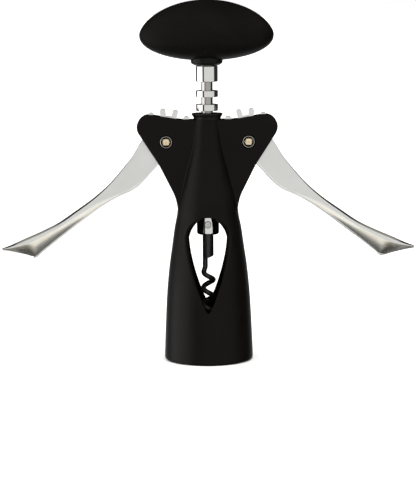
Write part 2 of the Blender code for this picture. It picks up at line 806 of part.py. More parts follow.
build_rack_shaft()
build_worm()
pin_steel = material("pin_steel", (0.62, 0.61, 0.58), 0.2, 1.0)
build_cross_pin("worm_pin", WORM_PIN_RADIUS, SHAFT_RADIUS - 0.05, WORM_PIN_Z, pin_steel)
build_ferrule()
build_knob_core()
build_knob_grip()
build_cross_pin("handle_pin", HANDLE_PIN_RADIUS, 12.0, HANDLE_PIN_Z, pin_steel)
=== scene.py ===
import json
import math

import bpy
from mathutils import Matrix, Vector


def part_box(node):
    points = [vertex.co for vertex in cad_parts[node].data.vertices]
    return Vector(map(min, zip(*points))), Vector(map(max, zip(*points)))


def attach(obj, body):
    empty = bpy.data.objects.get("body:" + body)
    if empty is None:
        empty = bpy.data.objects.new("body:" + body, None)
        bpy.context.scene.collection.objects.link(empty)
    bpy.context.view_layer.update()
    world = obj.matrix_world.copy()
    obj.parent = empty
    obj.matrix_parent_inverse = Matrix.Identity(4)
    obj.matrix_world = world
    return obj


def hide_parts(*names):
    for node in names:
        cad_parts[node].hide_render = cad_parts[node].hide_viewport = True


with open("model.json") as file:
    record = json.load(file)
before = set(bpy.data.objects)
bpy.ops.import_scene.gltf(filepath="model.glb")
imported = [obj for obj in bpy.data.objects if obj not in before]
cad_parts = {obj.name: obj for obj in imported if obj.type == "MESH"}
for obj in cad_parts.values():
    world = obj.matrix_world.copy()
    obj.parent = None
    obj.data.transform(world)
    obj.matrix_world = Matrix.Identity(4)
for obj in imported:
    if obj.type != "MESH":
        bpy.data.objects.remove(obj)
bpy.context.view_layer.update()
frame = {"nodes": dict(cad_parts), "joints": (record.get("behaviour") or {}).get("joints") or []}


# Body casting. One zinc die casting: a bell that drops over the bottle's neck, a cone, and two slotted ears
# that hold the levers. It is bored through for the rack shaft, has two windows in the bell's wall, and is
# sprayed with black soft-touch paint. Sizes in this file are millimetres unless a name says otherwise.

MM = 0.001
TURNED_SEGMENTS = 128

casting_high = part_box("body_casting")[1]
joint_place = {joint["name"]: joint.get("pos_m") for joint in frame["joints"]}
PIVOT_X = joint_place["lever_right_swing"][0] / MM
PIVOT_Z = joint_place["lever_right_swing"][2] / MM

BELL_RADIUS = casting_high.y / MM
BELL_EDGE = 1.5
CAST_TOP_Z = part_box("top_guide_bush")[0].z / MM + 0.5
EAR_HALF_THICKNESS = 4.9
EAR_EDGE = 0.8
CONE_FILLET = 1.5
SLOT_HALF_WIDTH = 2.4
HUB_ROOM = 18.25
BORE_RADIUS = 6.35
PIVOT_HOLE_RADIUS = 3.55
BUSH_SEAT_RADIUS = 7.45
SPIGOT_ROOM = 7.0
WINDOW_TOP_Z = 79.3
WINDOW_WIDEST_Z = 67.5
WINDOW_BOTTOM_Z = 27.3
WINDOW_HALF_WIDTH = 12.1
WINDOW_EDGE = 0.7
CUT_TOP_Z = 141.0
CONE_LOW_Z = 86.0
CONE_HIGH_Z = 130.9
CAVITY_RADIUS = 21.1
MOUTH_RADIUS = 21.9

# The casting's outer side as (radius, height), from the collar down to the bell's edge.
CASTING_SIDE = [
    (7.4, CAST_TOP_Z + 1.5),
    (7.8, 127.5),
    (8.9, 119.0),
    (10.0, 112.6),
    (13.0, 99.8),
    (15.9, 86.0),
    (16.8, 79.2),
    (18.2, 72.0),
    (19.75, 61.0),
    (21.2, 51.0),
    (22.45, 38.0),
    (23.15, 26.5),
    (23.65, 15.5),
    (24.05, 5.0),
    (BELL_RADIUS, BELL_EDGE),
]
# The cavity's domed roof and the bell's inner wall.
CAVITY_SIDE = [
    (BORE_RADIUS, 81.5),
    (9.5, 80.6),
    (12.6, 76.5),
    (15.7, 68.5),
    (17.7, 59.0),
    (19.3, 49.0),
    (20.4, 38.0),
    (CAVITY_RADIUS, 26.0),
    (CAVITY_RADIUS, 14.0),
]


def smooth_line(knots, steps=6):
    """Points on a smooth curve through every knot. A knot holds any number of values."""
    ends = [knots[0]] + list(knots) + [knots[-1]]
    line = []
    for i in range(len(knots) - 1):
        before, start, stop, after = ends[i : i + 4]
        for k in range(steps):
            t = k / steps
            point = []
            for a, b, c, d in zip(before, start, stop, after):
                curve = (2 * a - 5 * b + 4 * c - d) * t**2 + (3 * b - a - 3 * c + d) * t**3
                point.append(0.5 * (2 * b + (c - a) * t + curve))
            line.append(tuple(point))
    return line + [tuple(knots[-1])]


def arc(centre, radius, start_deg, end_deg, steps=6):
    """Points along an arc, both ends included."""
    angles = [math.radians(start_deg + (end_deg - start_deg) * i / steps) for i in range(steps + 1)]
    return [(centre[0] + radius * math.cos(a), centre[1] + radius * math.sin(a)) for a in angles]


def rounded(corners, steps=8):
    """An outline whose corners (x, z, radius) are rounded off with arcs."""
    outline = []
    for i, (x, z, radius) in enumerate(corners):
        here = Vector((x, z))
        if radius == 0:
            outline.append((x, z))
            continue
        to_last = (Vector(corners[i - 1][:2]) - here).normalized()
        to_next = (Vector(corners[(i + 1) % len(corners)][:2]) - here).normalized()
        half_angle = to_last.angle(to_next) / 2
        centre = here + (to_last + to_next).normalized() * (radius / math.sin(half_angle))
        first = here + to_last * (radius / math.tan(half_angle)) - centre
        last = here + to_next * (radius / math.tan(half_angle)) - centre
        swing = first.angle_signed(last)
        for k in range(steps + 1):
            spoke = first.copy()
            spoke.rotate(Matrix.Rotation(-swing * k / steps, 2))
            outline.append(tuple(centre + spoke))
    return outline


def link_mesh(name, points, faces):
    """A new object in the scene from points in millimetres."""
    mesh = bpy.data.meshes.new(name)
    mesh.from_pydata([Vector(point) * MM for point in points], [], faces)
    obj = bpy.data.objects.new(name, mesh)
    bpy.context.scene.collection.objects.link(obj)
    return obj


def stacked(name, rings, capped=True):
    """A skin over closed rings of equally many points, with a flat cap on each end."""
    around = len(rings[0])
    faces = []
    for i in range(len(rings) - 1):
        for k in range(around):
            after = (k + 1) % around
            low = i * around
            faces.append((low + k, low + after, low + around + after, low + around + k))
    if capped:
        faces.append(tuple(reversed(range(around))))
        faces.append(tuple(range(around * (len(rings) - 1), around * len(rings))))
    return link_mesh(name, [point for ring in rings for point in ring], faces)


def turned(name, side, segments=TURNED_SEGMENTS):
    """A solid turned about Z from (radius, height) points that run down its outer side."""
    points, rings = [], []
    for radius, height in side:
        count = segments if radius > 0 else 1
        rings.append([len(points) + k for k in range(count)])
        for k in range(count):
            angle = 2 * math.pi * k / segments
            points.append((radius * math.cos(angle), radius * math.sin(angle), height))
    pairs = list(zip(rings, rings[1:]))
    if side[0][0] > 0:
        pairs.append((rings[-1], rings[0]))
    faces = []
    for above, below in pairs:
        for k in range(segments):
            after = (k + 1) % segments
            corners = [above[k % len(above)], below[k % len(below)]]
            corners += [below[after % len(below)], above[after % len(above)]]
            faces.append(tuple(dict.fromkeys(corners)))
    return link_mesh(name, points, [face for face in faces if len(face) > 2])


def along_y(obj, x, z):
    """Lays a shape turned about Z along Y instead, at a place in the XZ plane."""
    place = Matrix.Translation((x * MM, 0, z * MM)) @ Matrix.Rotation(math.radians(90), 4, "X")
    obj.data.transform(place)
    return obj


def plate(name, outline, half_thickness, edge=0.0, steps=4):
    """A plate in the XZ plane with a rounded rim. The outline runs anticlockwise as seen from -Y."""
    count = len(outline)
    outward = []
    for i in range(count):
        ahead = Vector(outline[(i + 1) % count]) - Vector(outline[i - 1])
        outward.append(Vector((ahead.y, -ahead.x)).normalized())
    depths = [(-half_thickness, 0.0), (half_thickness, 0.0)]
    if edge > 0:
        turns = [math.radians(90 * k / steps) for k in range(steps + 1)]
        near = edge - half_thickness
        front = [(near - edge * math.cos(turn), edge * (1 - math.sin(turn))) for turn in turns]
        depths = front + [(-y, inset) for y, inset in reversed(front)]
    rings = []
    for y, inset in reversed(depths):
        rings.append([(x - n.x * inset, y, z - n.y * inset) for (x, z), n in zip(outline, outward)])
    return stacked(name, rings)


def combine(target, helper, operation, solver="MANIFOLD"):
    """Adds a Boolean step to the target."""
    step = target.modifiers.new(helper.name, "BOOLEAN")
    step.operation = operation
    step.object = helper
    step.solver = solver
    return target


def settle(obj):
    """Applies an object's modifiers, and removes the helper shapes that they used."""
    helpers = [step.object for step in obj.modifiers if step.type == "BOOLEAN"]
    graph = bpy.context.evaluated_depsgraph_get()
    mesh = bpy.data.meshes.new_from_object(obj.evaluated_get(graph))
    obj.modifiers.clear()
    obj.data = mesh
    for helper in helpers:
        bpy.data.objects.remove(helper)
    return obj


def shade(obj, crease_deg=30, weighted=False):
    """Smooth shading with sharp creases. Weighted normals keep large flat faces flat."""
    obj.data.shade_smooth()
    obj.data.set_sharp_from_angle(angle=math.radians(crease_deg))
    if weighted:
        step = obj.modifiers.new("Flat faces", "WEIGHTED_NORMAL")
        step.keep_sharp = True
        settle(obj)
    return obj


def place(obj, finish, body, slot, *nodes):
    """Gives a finished piece its material, its body, and the solids that it stands for. The slot is not used.
    """
    obj.data.materials.clear()
    obj.data.materials.append(finish)
    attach(obj, body)
    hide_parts(*nodes)
    return obj


def casting_radius(z):
    """The radius of the casting's outer side at a height."""
    line = smooth_line(CASTING_SIDE)
    for (upper_radius, upper_z), (lower_radius, lower_z) in zip(line, line[1:]):
        if lower_z <= z <= upper_z:
            share = (z - lower_z) / (upper_z - lower_z)
            return lower_radius + share * (upper_radius - lower_radius)
    return BELL_RADIUS


def ear_outline():
    """Both ears in one outline that passes through the cone."""
    right = rounded(
        [
            (0.0, 81.0, 0),
            (16.0, 81.5, 0),
            (17.3, 89.2, 25),
            (26.2, 107.0, 60),
            (45.2, 136.3, 6.7),
            (14.5, 131.3, 25),
            (0.0, 131.0, 0),
        ]
    )[1:-1]
    return right + [(-x, z) for x, z in reversed(right)]


def cone_ring(z):
    """A level section of the cone: a round with a fillet where it meets each ear's faces."""
    radius = casting_radius(z)
    fillet = CONE_FILLET * min(1.0, (z - 85.0) / 12.0)
    wall = EAR_HALF_THICKNESS - 0.02
    reach = wall + fillet
    centre = (math.sqrt((radius + fillet) ** 2 - reach**2), reach)
    meet_deg = math.degrees(math.atan2(reach, centre[0]))
    corner = arc(centre, fillet, -90, meet_deg - 180, 7)
    quarter = corner + arc((0.0, 0.0), radius, meet_deg, 90, 14)[1:]
    half = quarter + [(-x, y) for x, y in reversed(quarter[:-1])]
    return [(x, y, z) for x, y in half + [(-x, -y) for x, y in half]]


def window_outline():
    """The window's edge seen square on: a round head over a long point with a small round end."""
    right = []
    length = WINDOW_WIDEST_Z - WINDOW_BOTTOM_Z
    tip = 0.9
    for i in range(17):
        share = 1 - i / 16
        half_width = WINDOW_HALF_WIDTH * (1 - share**1.5) ** 0.9
        if half_width > tip:
            right.append((half_width, WINDOW_WIDEST_Z - share * length))
    head = WINDOW_TOP_Z - WINDOW_WIDEST_Z
    for i in range(1, 19):
        turn = math.radians(90 * i / 18)
        right.append((WINDOW_HALF_WIDTH * math.cos(turn), WINDOW_WIDEST_Z + head * math.sin(turn)))
    low = arc((0.0, right[0][1] - 0.5), tip, -90, -15, 4)
    right = low + right
    return right[:-1] + [(0.0, WINDOW_TOP_Z)] + [(-x, z) for x, z in reversed(right[1:-1])]


def window_cutter(name, side):
    """A plug that leaves the wall square, narrows towards the axis, and flares at the outer surface."""
    outline = window_outline()
    count = len(outline)
    steps = [(-3.0, WINDOW_EDGE)]
    for k in range(6):
        turn = math.radians(90 * k / 5)
        steps.append((WINDOW_EDGE * (1 - math.cos(turn)), WINDOW_EDGE * (1 - math.sin(turn))))
    steps.append((14.0, 0.0))
    rings = []
    for depth, growth in steps:
        ring = []
        for i, (x, z) in enumerate(outline):
            ahead = Vector(outline[(i + 1) % count]) - Vector(outline[i - 1])
            outward = Vector((ahead.y, -ahead.x)).normalized() * growth
            radius = casting_radius(z)
            inward = (radius - depth) / radius
            across = x + outward.x
            ring.append((across * inward, -side * math.sqrt(radius**2 - across**2) * inward, z + outward.y))
        rings.append(ring)
    outside = [(x, -side * 2 * BELL_RADIUS, z) for x, _, z in rings[0]]
    return stacked(name, ([outside] + rings)[::-side])


def build_casting():
    rim = arc((BELL_RADIUS - BELL_EDGE, BELL_EDGE), BELL_EDGE, 0, -90, 6)[1:]
    side = [(0.0, CAST_TOP_Z + 1.5)] + smooth_line(CASTING_SIDE) + rim + [(0.0, 0.0)]
    casting = turned("casting_with_ears", side)
    cone_levels = [CONE_LOW_Z + (CONE_HIGH_Z - CONE_LOW_Z) * i / 24 for i in range(25)]
    combine(casting, stacked("cone_blend", [cone_ring(z) for z in cone_levels]), "UNION")
    combine(casting, plate("ears", ear_outline(), EAR_HALF_THICKNESS, EAR_EDGE), "UNION")
    hollow = [(0.0, CUT_TOP_Z), (BORE_RADIUS, CUT_TOP_Z)] + smooth_line(CAVITY_SIDE)
    hollow += [(CAVITY_RADIUS, 1.2), (MOUTH_RADIUS, -0.6), (MOUTH_RADIUS, -2.0), (0.0, -2.0)]
    combine(casting, turned("hollow", hollow), "DIFFERENCE")
    hub_room = arc((PIVOT_X, PIVOT_Z), HUB_ROOM, 180, 245, 16)
    slot = hub_room + [(13.3, 100.0), (15.75, 87.0), (17.0, 80.0), (17.6, 77.0), (60.0, 77.0)]
    slot += [(60.0, CUT_TOP_Z), (hub_room[0][0], CUT_TOP_Z)]
    combine(casting, plate("slot_right", slot, SLOT_HALF_WIDTH), "DIFFERENCE")
    combine(casting, plate("slot_left", [(-x, z) for x, z in reversed(slot)], SLOT_HALF_WIDTH), "DIFFERENCE")
    combine(casting, window_cutter("window_front", 1), "DIFFERENCE")
    combine(casting, window_cutter("window_rear", -1), "DIFFERENCE")
    wide = PIVOT_HOLE_RADIUS + 0.25
    face = EAR_HALF_THICKNESS
    hole = [(0.0, 12.0), (wide, 12.0), (wide, face), (PIVOT_HOLE_RADIUS, face - 0.25)]
    hole += [(radius, -height) for radius, height in reversed(hole)]
    for side in (-1, 1):
        combine(casting, along_y(turned("pivot_hole", hole, 64), side * PIVOT_X, PIVOT_Z), "DIFFERENCE")
    seat = [(0.0, CUT_TOP_Z), (BUSH_SEAT_RADIUS, CUT_TOP_Z), (BUSH_SEAT_RADIUS, CAST_TOP_Z)]
    seat += [(SPIGOT_ROOM, CAST_TOP_Z), (SPIGOT_ROOM, CAST_TOP_Z - 0.7), (0.0, CAST_TOP_Z - 0.7)]
    combine(casting, turned("bush_seat", seat), "DIFFERENCE")
    return shade(settle(casting), 30, weighted=True)


def add_node(tree, kind, inputs=None, **settings):
    """A node with its settings. An input that is given a socket is wired to it."""
    made = tree.nodes.new(kind)
    for name, value in settings.items():
        setattr(made, name, value)
    for name, value in (inputs or {}).items():
        if isinstance(value, bpy.types.NodeSocket):
            tree.links.new(value, made.inputs[name])
        else:
            made.inputs[name].default_value = value
    return made


def new_tree(name, kind, wanted, given):
    """A node group whose inputs and outputs are named under their types."""
    tree = bpy.data.node_groups.new(name, kind)
    for way, sockets in (("INPUT", wanted), ("OUTPUT", given)):
        for socket_type, labels in sockets.items():
            for label in labels:
                tree.interface.new_socket(name=label, in_out=way, socket_type=socket_type)
    return tree, tree.nodes.new("NodeGroupInput").outputs, tree.nodes.new("NodeGroupOutput").inputs


def maths(tree, operation, first, second=0.0, third=0.0):
    """One step of arithmetic on values or sockets."""
    step = add_node(tree, "ShaderNodeMath", {0: first, 1: second, 2: third}, operation=operation)
    return step.outputs[0]


def remap(tree, value, low, high, to_low=0.0, to_high=1.0, smooth_step=True):
    """Stretches a value from one range to another, held at both ends."""
    steps = {"Value": value, "From Min": low, "From Max": high, "To Min": to_low, "To Max": to_high}
    kind = "SMOOTHSTEP" if smooth_step else "LINEAR"
    return add_node(tree, "ShaderNodeMapRange", steps, interpolation_type=kind).outputs["Result"]


def product(tree, first, second):
    return maths(tree, "MULTIPLY", first, second)


def noise(tree, where, scale, detail):
    """A cloudy value that stays round one half."""
    pattern = {"Vector": where, "Scale": scale, "Detail": detail}
    return add_node(tree, "ShaderNodeTexNoise", pattern).outputs["Fac"]


FLOAT, VECTOR = "NodeSocketFloat", "NodeSocketVector"


def handled_surface():
    """Grain, smudges from handling, and fine specks of dust, as values from 0 to 1."""
    wanted = {VECTOR: ["Vector"], FLOAT: ["Grain Scale", "Smudge Scale"]}
    given = {FLOAT: ["Grain", "Smudge", "Dust"]}
    tree, start, end = new_tree("handled_surface", "ShaderNodeTree", wanted, given)
    where = start["Vector"]
    fine = noise(tree, where, start["Grain Scale"], 3.0)
    broad = {"Vector": where, "Scale": start["Smudge Scale"], "Detail": 4.0, "Distortion": 0.6}
    smudge = add_node(tree, "ShaderNodeTexNoise", broad)
    flecks = add_node(tree, "ShaderNodeTexVoronoi", {"Vector": where, "Scale": 900.0})
    sparse = noise(tree, where, 320.0, 2.0)
    speck = product(tree, remap(tree, flecks.outputs["Distance"], 0.16, 0.06),
                  remap(tree, sparse, 0.60, 0.70))
    facing = add_node(tree, "ShaderNodeNewGeometry").outputs["Normal"]
    upward = add_node(tree, "ShaderNodeSeparateXYZ", {0: facing})
    lying = remap(tree, upward.outputs["Z"], -0.2, 0.9, 0.15, 1.0)
    tree.links.new(fine, end["Grain"])
    tree.links.new(remap(tree, smudge.outputs["Fac"], 0.35, 0.72), end["Smudge"])
    tree.links.new(product(tree, speck, lying), end["Dust"])
    return tree


def new_finish(name, roughness, metallic, specular=0.5):
    """A material, its tree, its Principled shader's inputs, and the place that its patterns read."""
    finish = bpy.data.materials.new(name)
    finish.use_nodes = True
    shader = finish.node_tree.nodes["Principled BSDF"]
    shader.inputs["Roughness"].default_value = roughness
    shader.inputs["Metallic"].default_value = metallic
    shader.inputs["Specular IOR Level"].default_value = specular
    where = add_node(finish.node_tree, "ShaderNodeTexCoord").outputs["Object"]
    return finish, finish.node_tree, shader.inputs, where


def group_node(tree, group, inputs):
    kind = "ShaderNodeGroup" if tree.type == "SHADER" else "GeometryNodeGroup"
    return add_node(tree, kind, inputs, node_tree=group).outputs


def mixed(tree, share, first, second):
    """A colour between two colours."""
    blend = add_node(tree, "ShaderNodeMix", {"Factor": share}, data_type="RGBA")
    for socket, value in ((blend.inputs[6], first), (blend.inputs[7], second)):
        if isinstance(value, bpy.types.NodeSocket):
            tree.links.new(value, socket)
        else:
            socket.default_value = (*value, 1.0)
    return blend.outputs[2]


def raised(tree, shader, height, strength, distance_mm):
    """Feeds a height into the shader's normal."""
    step = {"Height": height, "Strength": strength, "Distance": distance_mm * MM}
    tree.links.new(add_node(tree, "ShaderNodeBump", step).outputs["Normal"], shader["Normal"])


HANDLED = handled_surface()


def handling(tree, where, grain_scale, smudge_scale):
    scales = {"Grain Scale": grain_scale, "Smudge Scale": smudge_scale}
    return group_node(tree, HANDLED, {"Vector": where, **scales})


def grainy_gloss(tree, marks, low, high):
    """A roughness between two values that follows the grain."""
    return remap(tree, marks["Grain"], 0.3, 0.7, low, high)


def soft_touch_paint():
    """Black paint with a rubbery, finely pebbled skin that shows smudges only as a change of gloss."""
    finish, tree, shader, where = new_finish("soft_touch_paint", 0.46, 0.0, specular=0.105)
    marks = handling(tree, where, 3600.0, 38.0)
    peel = noise(tree, where, 700.0, 2.0)
    black = mixed(tree, marks["Smudge"], (0.0024, 0.0015, 0.0012), (0.0036, 0.0025, 0.0021))
    tree.links.new(mixed(tree, product(tree, marks["Dust"], 0.14), black, (0.10, 0.09, 0.08)),
                   shader["Base Color"])
    tree.links.new(remap(tree, marks["Smudge"], 0.0, 1.0, 0.43, 0.50), shader["Roughness"])
    height = maths(tree, "ADD", marks["Grain"], product(tree, peel, 0.8))
    raised(tree, shader, height, 0.22, 0.03)
    return finish


place(build_casting(), soft_touch_paint(), "body", "soft_touch_body", "body_casting")


# Bottle seat ring. A dark nylon ring pressed into the bell, moulded with a lead-in for the bottle's neck and
# a shoulder that stops on its lip. It keeps the metal off the glass.

seat_low, seat_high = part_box("bottle_seat_ring")
SEAT_RADIUS = seat_high.x / MM
SEAT_BOTTOM_Z = seat_low.z / MM
SEAT_TOP_Z = seat_high.z / MM
SEAT_SHOULDER_Z = 18.0
SEAT_MOUTH_RADIUS = 15.4
SEAT_LIP_RADIUS = 12.9


def build_seat_ring():
    side = [(17.5, SEAT_TOP_Z), (19.9, SEAT_TOP_Z - 0.6)]
    side += arc((SEAT_RADIUS - 1.0, SEAT_TOP_Z - 1.9), 1.0, 45, 0, 3)
    side += arc((SEAT_RADIUS - 0.6, SEAT_BOTTOM_Z + 0.6), 0.6, 0, -90, 4)
    side += [(17.6, SEAT_BOTTOM_Z)] + arc((17.4, SEAT_BOTTOM_Z + 2.0), 2.0, -95, -180, 6)
    side += [(SEAT_MOUTH_RADIUS, SEAT_SHOULDER_Z - 0.3), (SEAT_MOUTH_RADIUS - 0.3, SEAT_SHOULDER_Z)]
    side += [(SEAT_LIP_RADIUS + 0.3, SEAT_SHOULDER_Z), (SEAT_LIP_RADIUS, SEAT_SHOULDER_Z + 0.3)]
    side += arc((SEAT_LIP_RADIUS + 0.9, SEAT_TOP_Z - 0.9), 0.9, 180, 90, 5)
    return shade(turned("bottle_seat_moulding", side), 35)


def moulded_nylon(name, colour, roughness):
    """Dyed nylon as it leaves the mould, with a dry, cloudy skin and faint flow lines round the axis."""
    finish, tree, shader, where = new_finish(name, roughness, 0.0, specular=0.14)
    marks = handling(tree, where, 2600.0, 70.0)
    squeezed = add_node(tree, "ShaderNodeMapping", {"Vector": where, "Scale": (0.15, 0.15, 1.0)}).outputs[0]
    flow = noise(tree, squeezed, 1100.0, 2.0)
    pale = tuple(part * 1.4 + 0.001 for part in colour)
    tree.links.new(mixed(tree, marks["Smudge"], colour, pale), shader["Base Color"])
    tree.links.new(grainy_gloss(tree, marks, roughness - 0.05, roughness + 0.07), shader["Roughness"])
    raised(tree, shader, maths(tree, "ADD", marks["Grain"], flow), 0.18, 0.02)
    return finish


seat_nylon = moulded_nylon("seat_ring_nylon", (0.026, 0.026, 0.027), 0.42)
place(build_seat_ring(), seat_nylon, "body", "seat_nylon", "bottle_seat_ring")


# Top guide bush. A flared black nylon collar pressed into the top of the casting. The rack shaft slides and
# turns in its bore.

bush_low, bush_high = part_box("top_guide_bush")
COLLAR_RADIUS = bush_high.x / MM
COLLAR_TOP_Z = bush_high.z / MM
COLLAR_NECK_RADIUS = 7.2
SPIGOT_RADIUS = 6.8


def build_guide_bush():
    side = arc((COLLAR_RADIUS - 0.45, COLLAR_TOP_Z - 0.45), 0.45, 90, -30, 8)
    neck_z, spigot_z = CAST_TOP_Z + 0.2, bush_low.z / MM
    side += smooth_line([(8.0, COLLAR_TOP_Z - 1.3), (7.45, COLLAR_TOP_Z - 2.2), (COLLAR_NECK_RADIUS, neck_z)])
    side += [(SPIGOT_RADIUS, neck_z), (SPIGOT_RADIUS, spigot_z), (BORE_RADIUS, spigot_z)]
    side += [(BORE_RADIUS, COLLAR_TOP_Z - 0.5)]
    side += arc((BORE_RADIUS + 0.5, COLLAR_TOP_Z - 0.5), 0.5, 180, 90, 4)
    return shade(turned("guide_collar", side), 35)


guide_nylon = moulded_nylon("guide_collar_nylon", (0.0045, 0.0038, 0.0035), 0.38)
place(build_guide_bush(), guide_nylon, "guide", "guide_nylon", "top_guide_bush")


# Levers. Each wing is one chromed zinc casting: a boss with long round-ended teeth that drive the rack, a
# flat blade with satin sides, and an arm whose polished flanks spread from the blade's foot into a hollow
# thumb leaf.

BLADE_THICKNESS = 4.2
TEETH_PER_TURN = 15
TOOTH_COUNT = 9
TOOTH_WIDTH = 3.0
TOOTH_TIP_RADIUS = 17.9
TOOTH_ROOT_RADIUS = 13.8
FIRST_TOOTH_DEG = 59.98
PLAIN_BOSS_RADIUS = 9.4
LEVER_BORE_RADIUS = 2.1
RIDGE_HALF_WIDTH = 2.04
LEAF_EDGE = 0.9
RIDGE_CORNER = 0.12

# The right arm from boss to tip, measured from the pivot: the ridge's top (x, z), the foot below it (x,
# z), half the width at the foot, the share of the height that stays flat, the hollow underneath, and the
# height of the ridge's low crown.
ARM_STATIONS = [
    (9.0, 3.5, 3.0, -11.0, 2.04, 0.97, 0.0, 0.15),
    (13.2, 0.6, 8.6, -17.1, 2.04, 0.97, 0.0, 0.20),
    (18.5, -8.0, 13.3, -22.2, 2.04, 0.97, 0.0, 0.25),
    (24.0, -14.8, 18.4, -26.1, 2.04, 0.97, 0.0, 0.30),
    (30.6, -22.3, 26.0, -29.5, 2.10, 0.95, 0.0, 0.45),
    (35.6, -26.9, 31.4, -32.4, 2.60, 0.80, 0.0, 0.58),
    (41.3, -31.5, 37.7, -36.4, 3.50, 0.56, 0.3, 0.74),
    (49.7, -37.4, 46.0, -42.4, 5.10, 0.46, 0.9, 0.88),
    (58.8, -43.6, 54.5, -48.8, 7.10, 0.40, 1.7, 0.98),
    (66.4, -47.5, 62.0, -54.5, 9.40, 0.35, 3.0, 1.04),
    (71.5, -49.8, 66.8, -58.2, 11.10, 0.32, 4.0, 1.06),
    (76.0, -51.7, 70.6, -61.1, 12.40, 0.31, 4.6, 1.06),
    (80.0, -53.5, 75.8, -60.4, 9.80, 0.36, 3.2, 1.00),
    (84.0, -55.3, 80.8, -59.6, 7.20, 0.44, 1.8, 0.84),
    (87.4, -56.7, 85.8, -58.9, 4.60, 0.50, 0.6, 0.50),
    (89.9, -57.5, 89.6, -58.75, 2.60, 0.55, 0.1, 0.10),
]


def arm_ring(station):
    """One section of the arm: over the ridge, down its front, out along the flank, and back underneath.
    Each point is (x, y, z, polish), and only the flat side of the ridge is left satin."""
    top_x, top_z, foot_x, foot_z, half_width, flat_share, hollow, crown = station
    top = Vector((top_x, top_z))
    foot = Vector((foot_x, foot_z))
    height = (foot - top).length
    down = (foot - top) / height
    edge = min(LEAF_EDGE, 0.3 * height)
    crease = flat_share * (height - edge)
    half = min(RIDGE_HALF_WIDTH, 0.9 * half_width)
    flat = half - RIDGE_CORNER
    side = [(flat * k / 4, crown * (k / 4) ** 1.25, 1) for k in range(1, 5)]
    for k in range(1, 7):
        turn = math.radians(90 * k / 6)
        depth = crown + RIDGE_CORNER * (1 - math.cos(turn))
        side.append((half - RIDGE_CORNER * (1 - math.sin(turn)), depth, 1))
    side += [(half, crown + RIDGE_CORNER + 0.1, 0), (half, crease - 0.1, 0), (half, crease, 0)]
    for k in range(1, 13):
        share = k / 12
        width = half + (half_width - half) * (0.45 * share + 0.55 * share**2)
        side.append((width, crease + (height - edge - crease) * share, 1))
    for k in range(1, 5):
        turn = math.radians(90 * k / 4)
        side.append((half_width - 0.3 * edge * (1 - math.cos(turn)), height - edge * (1 - math.sin(turn)), 1))
    inner = half_width - 0.3 * edge
    for k in range(1, 7):
        share = k / 7
        side.append((inner * (1 - share), height - hollow * math.sin(math.radians(90 * share)) ** 1.4, 1))
    ring = [(-width, depth, polish) for width, depth, polish in side] + [(0.0, height - hollow, 1)]
    ring += list(reversed(side)) + [(0.0, 0.0, 1)]
    along = [(PIVOT_X + top.x + down.x * depth, PIVOT_Z + top.y + down.y * depth) for _, depth, _ in ring]
    return [(x, width, z, polish) for (x, z), (width, _, polish) in zip(along, ring)]


def build_arm():
    rings = [arm_ring(station) for station in smooth_line(ARM_STATIONS, 5)]
    arm = stacked("arm", [[point[:3] for point in ring] for ring in rings])
    polish = arm.data.attributes.new("polish", "FLOAT", "POINT")
    polish.data.foreach_set("value", [float(point[3]) for ring in rings for point in ring])
    return arm


GEOMETRY, INTEGER, MATERIAL = "NodeSocketGeometry", "NodeSocketInt", "NodeSocketMaterial"


def shaped(tree, kind, inputs=None, **settings):
    """The geometry that one shape node gives out."""
    return add_node(tree, "GeometryNode" + kind, inputs, **settings).outputs[0]


def vector(tree, **parts):
    return add_node(tree, "ShaderNodeCombineXYZ", parts).outputs[0]


def joined(tree, parts, solver):
    """The union of several meshes."""
    union = add_node(tree, "GeometryNodeMeshBoolean", operation="UNION", solver=solver)
    for part in parts:
        tree.links.new(part, union.inputs["Mesh 2"])
    return union.outputs[0]


def finished_tree(tree, mesh, start, end):
    """Makes a tree's mesh real, gives it its finish and sends it out."""
    real = shaped(tree, "RealizeInstances", {"Geometry": mesh})
    tree.links.new(shaped(tree, "SetMaterial", {"Geometry": real, "Material": start["Finish"]}), end["Mesh"])
    return tree


def cut_plate_tree():
    """Nodes that fill a flat closed curve and give it a thickness, centred and closed on both faces."""
    wanted = {GEOMETRY: ["Curve"], FLOAT: ["Thickness"]}
    tree, start, end = new_tree("cut_plate", "GeometryNodeTree", wanted, {GEOMETRY: ["Mesh"]})
    face = shaped(tree, "FillCurve", {"Curve": start["Curve"]}, mode="NGONS")
    thick = {"Mesh": face, "Offset Scale": start["Thickness"], "Individual": False}
    grown_face = shaped(tree, "ExtrudeMesh", thick)
    other_face = shaped(tree, "FlipFaces", {"Mesh": face})
    both = add_node(tree, "GeometryNodeJoinGeometry", {"Geometry": grown_face})
    tree.links.new(other_face, both.inputs["Geometry"])
    merged = shaped(tree, "MergeByDistance", {"Geometry": both.outputs[0], "Distance": 1e-7})
    drop = vector(tree, Z=product(tree, start["Thickness"], -0.5))
    tree.links.new(shaped(tree, "Transform", {"Geometry": merged, "Translation": drop}), end["Mesh"])
    return tree


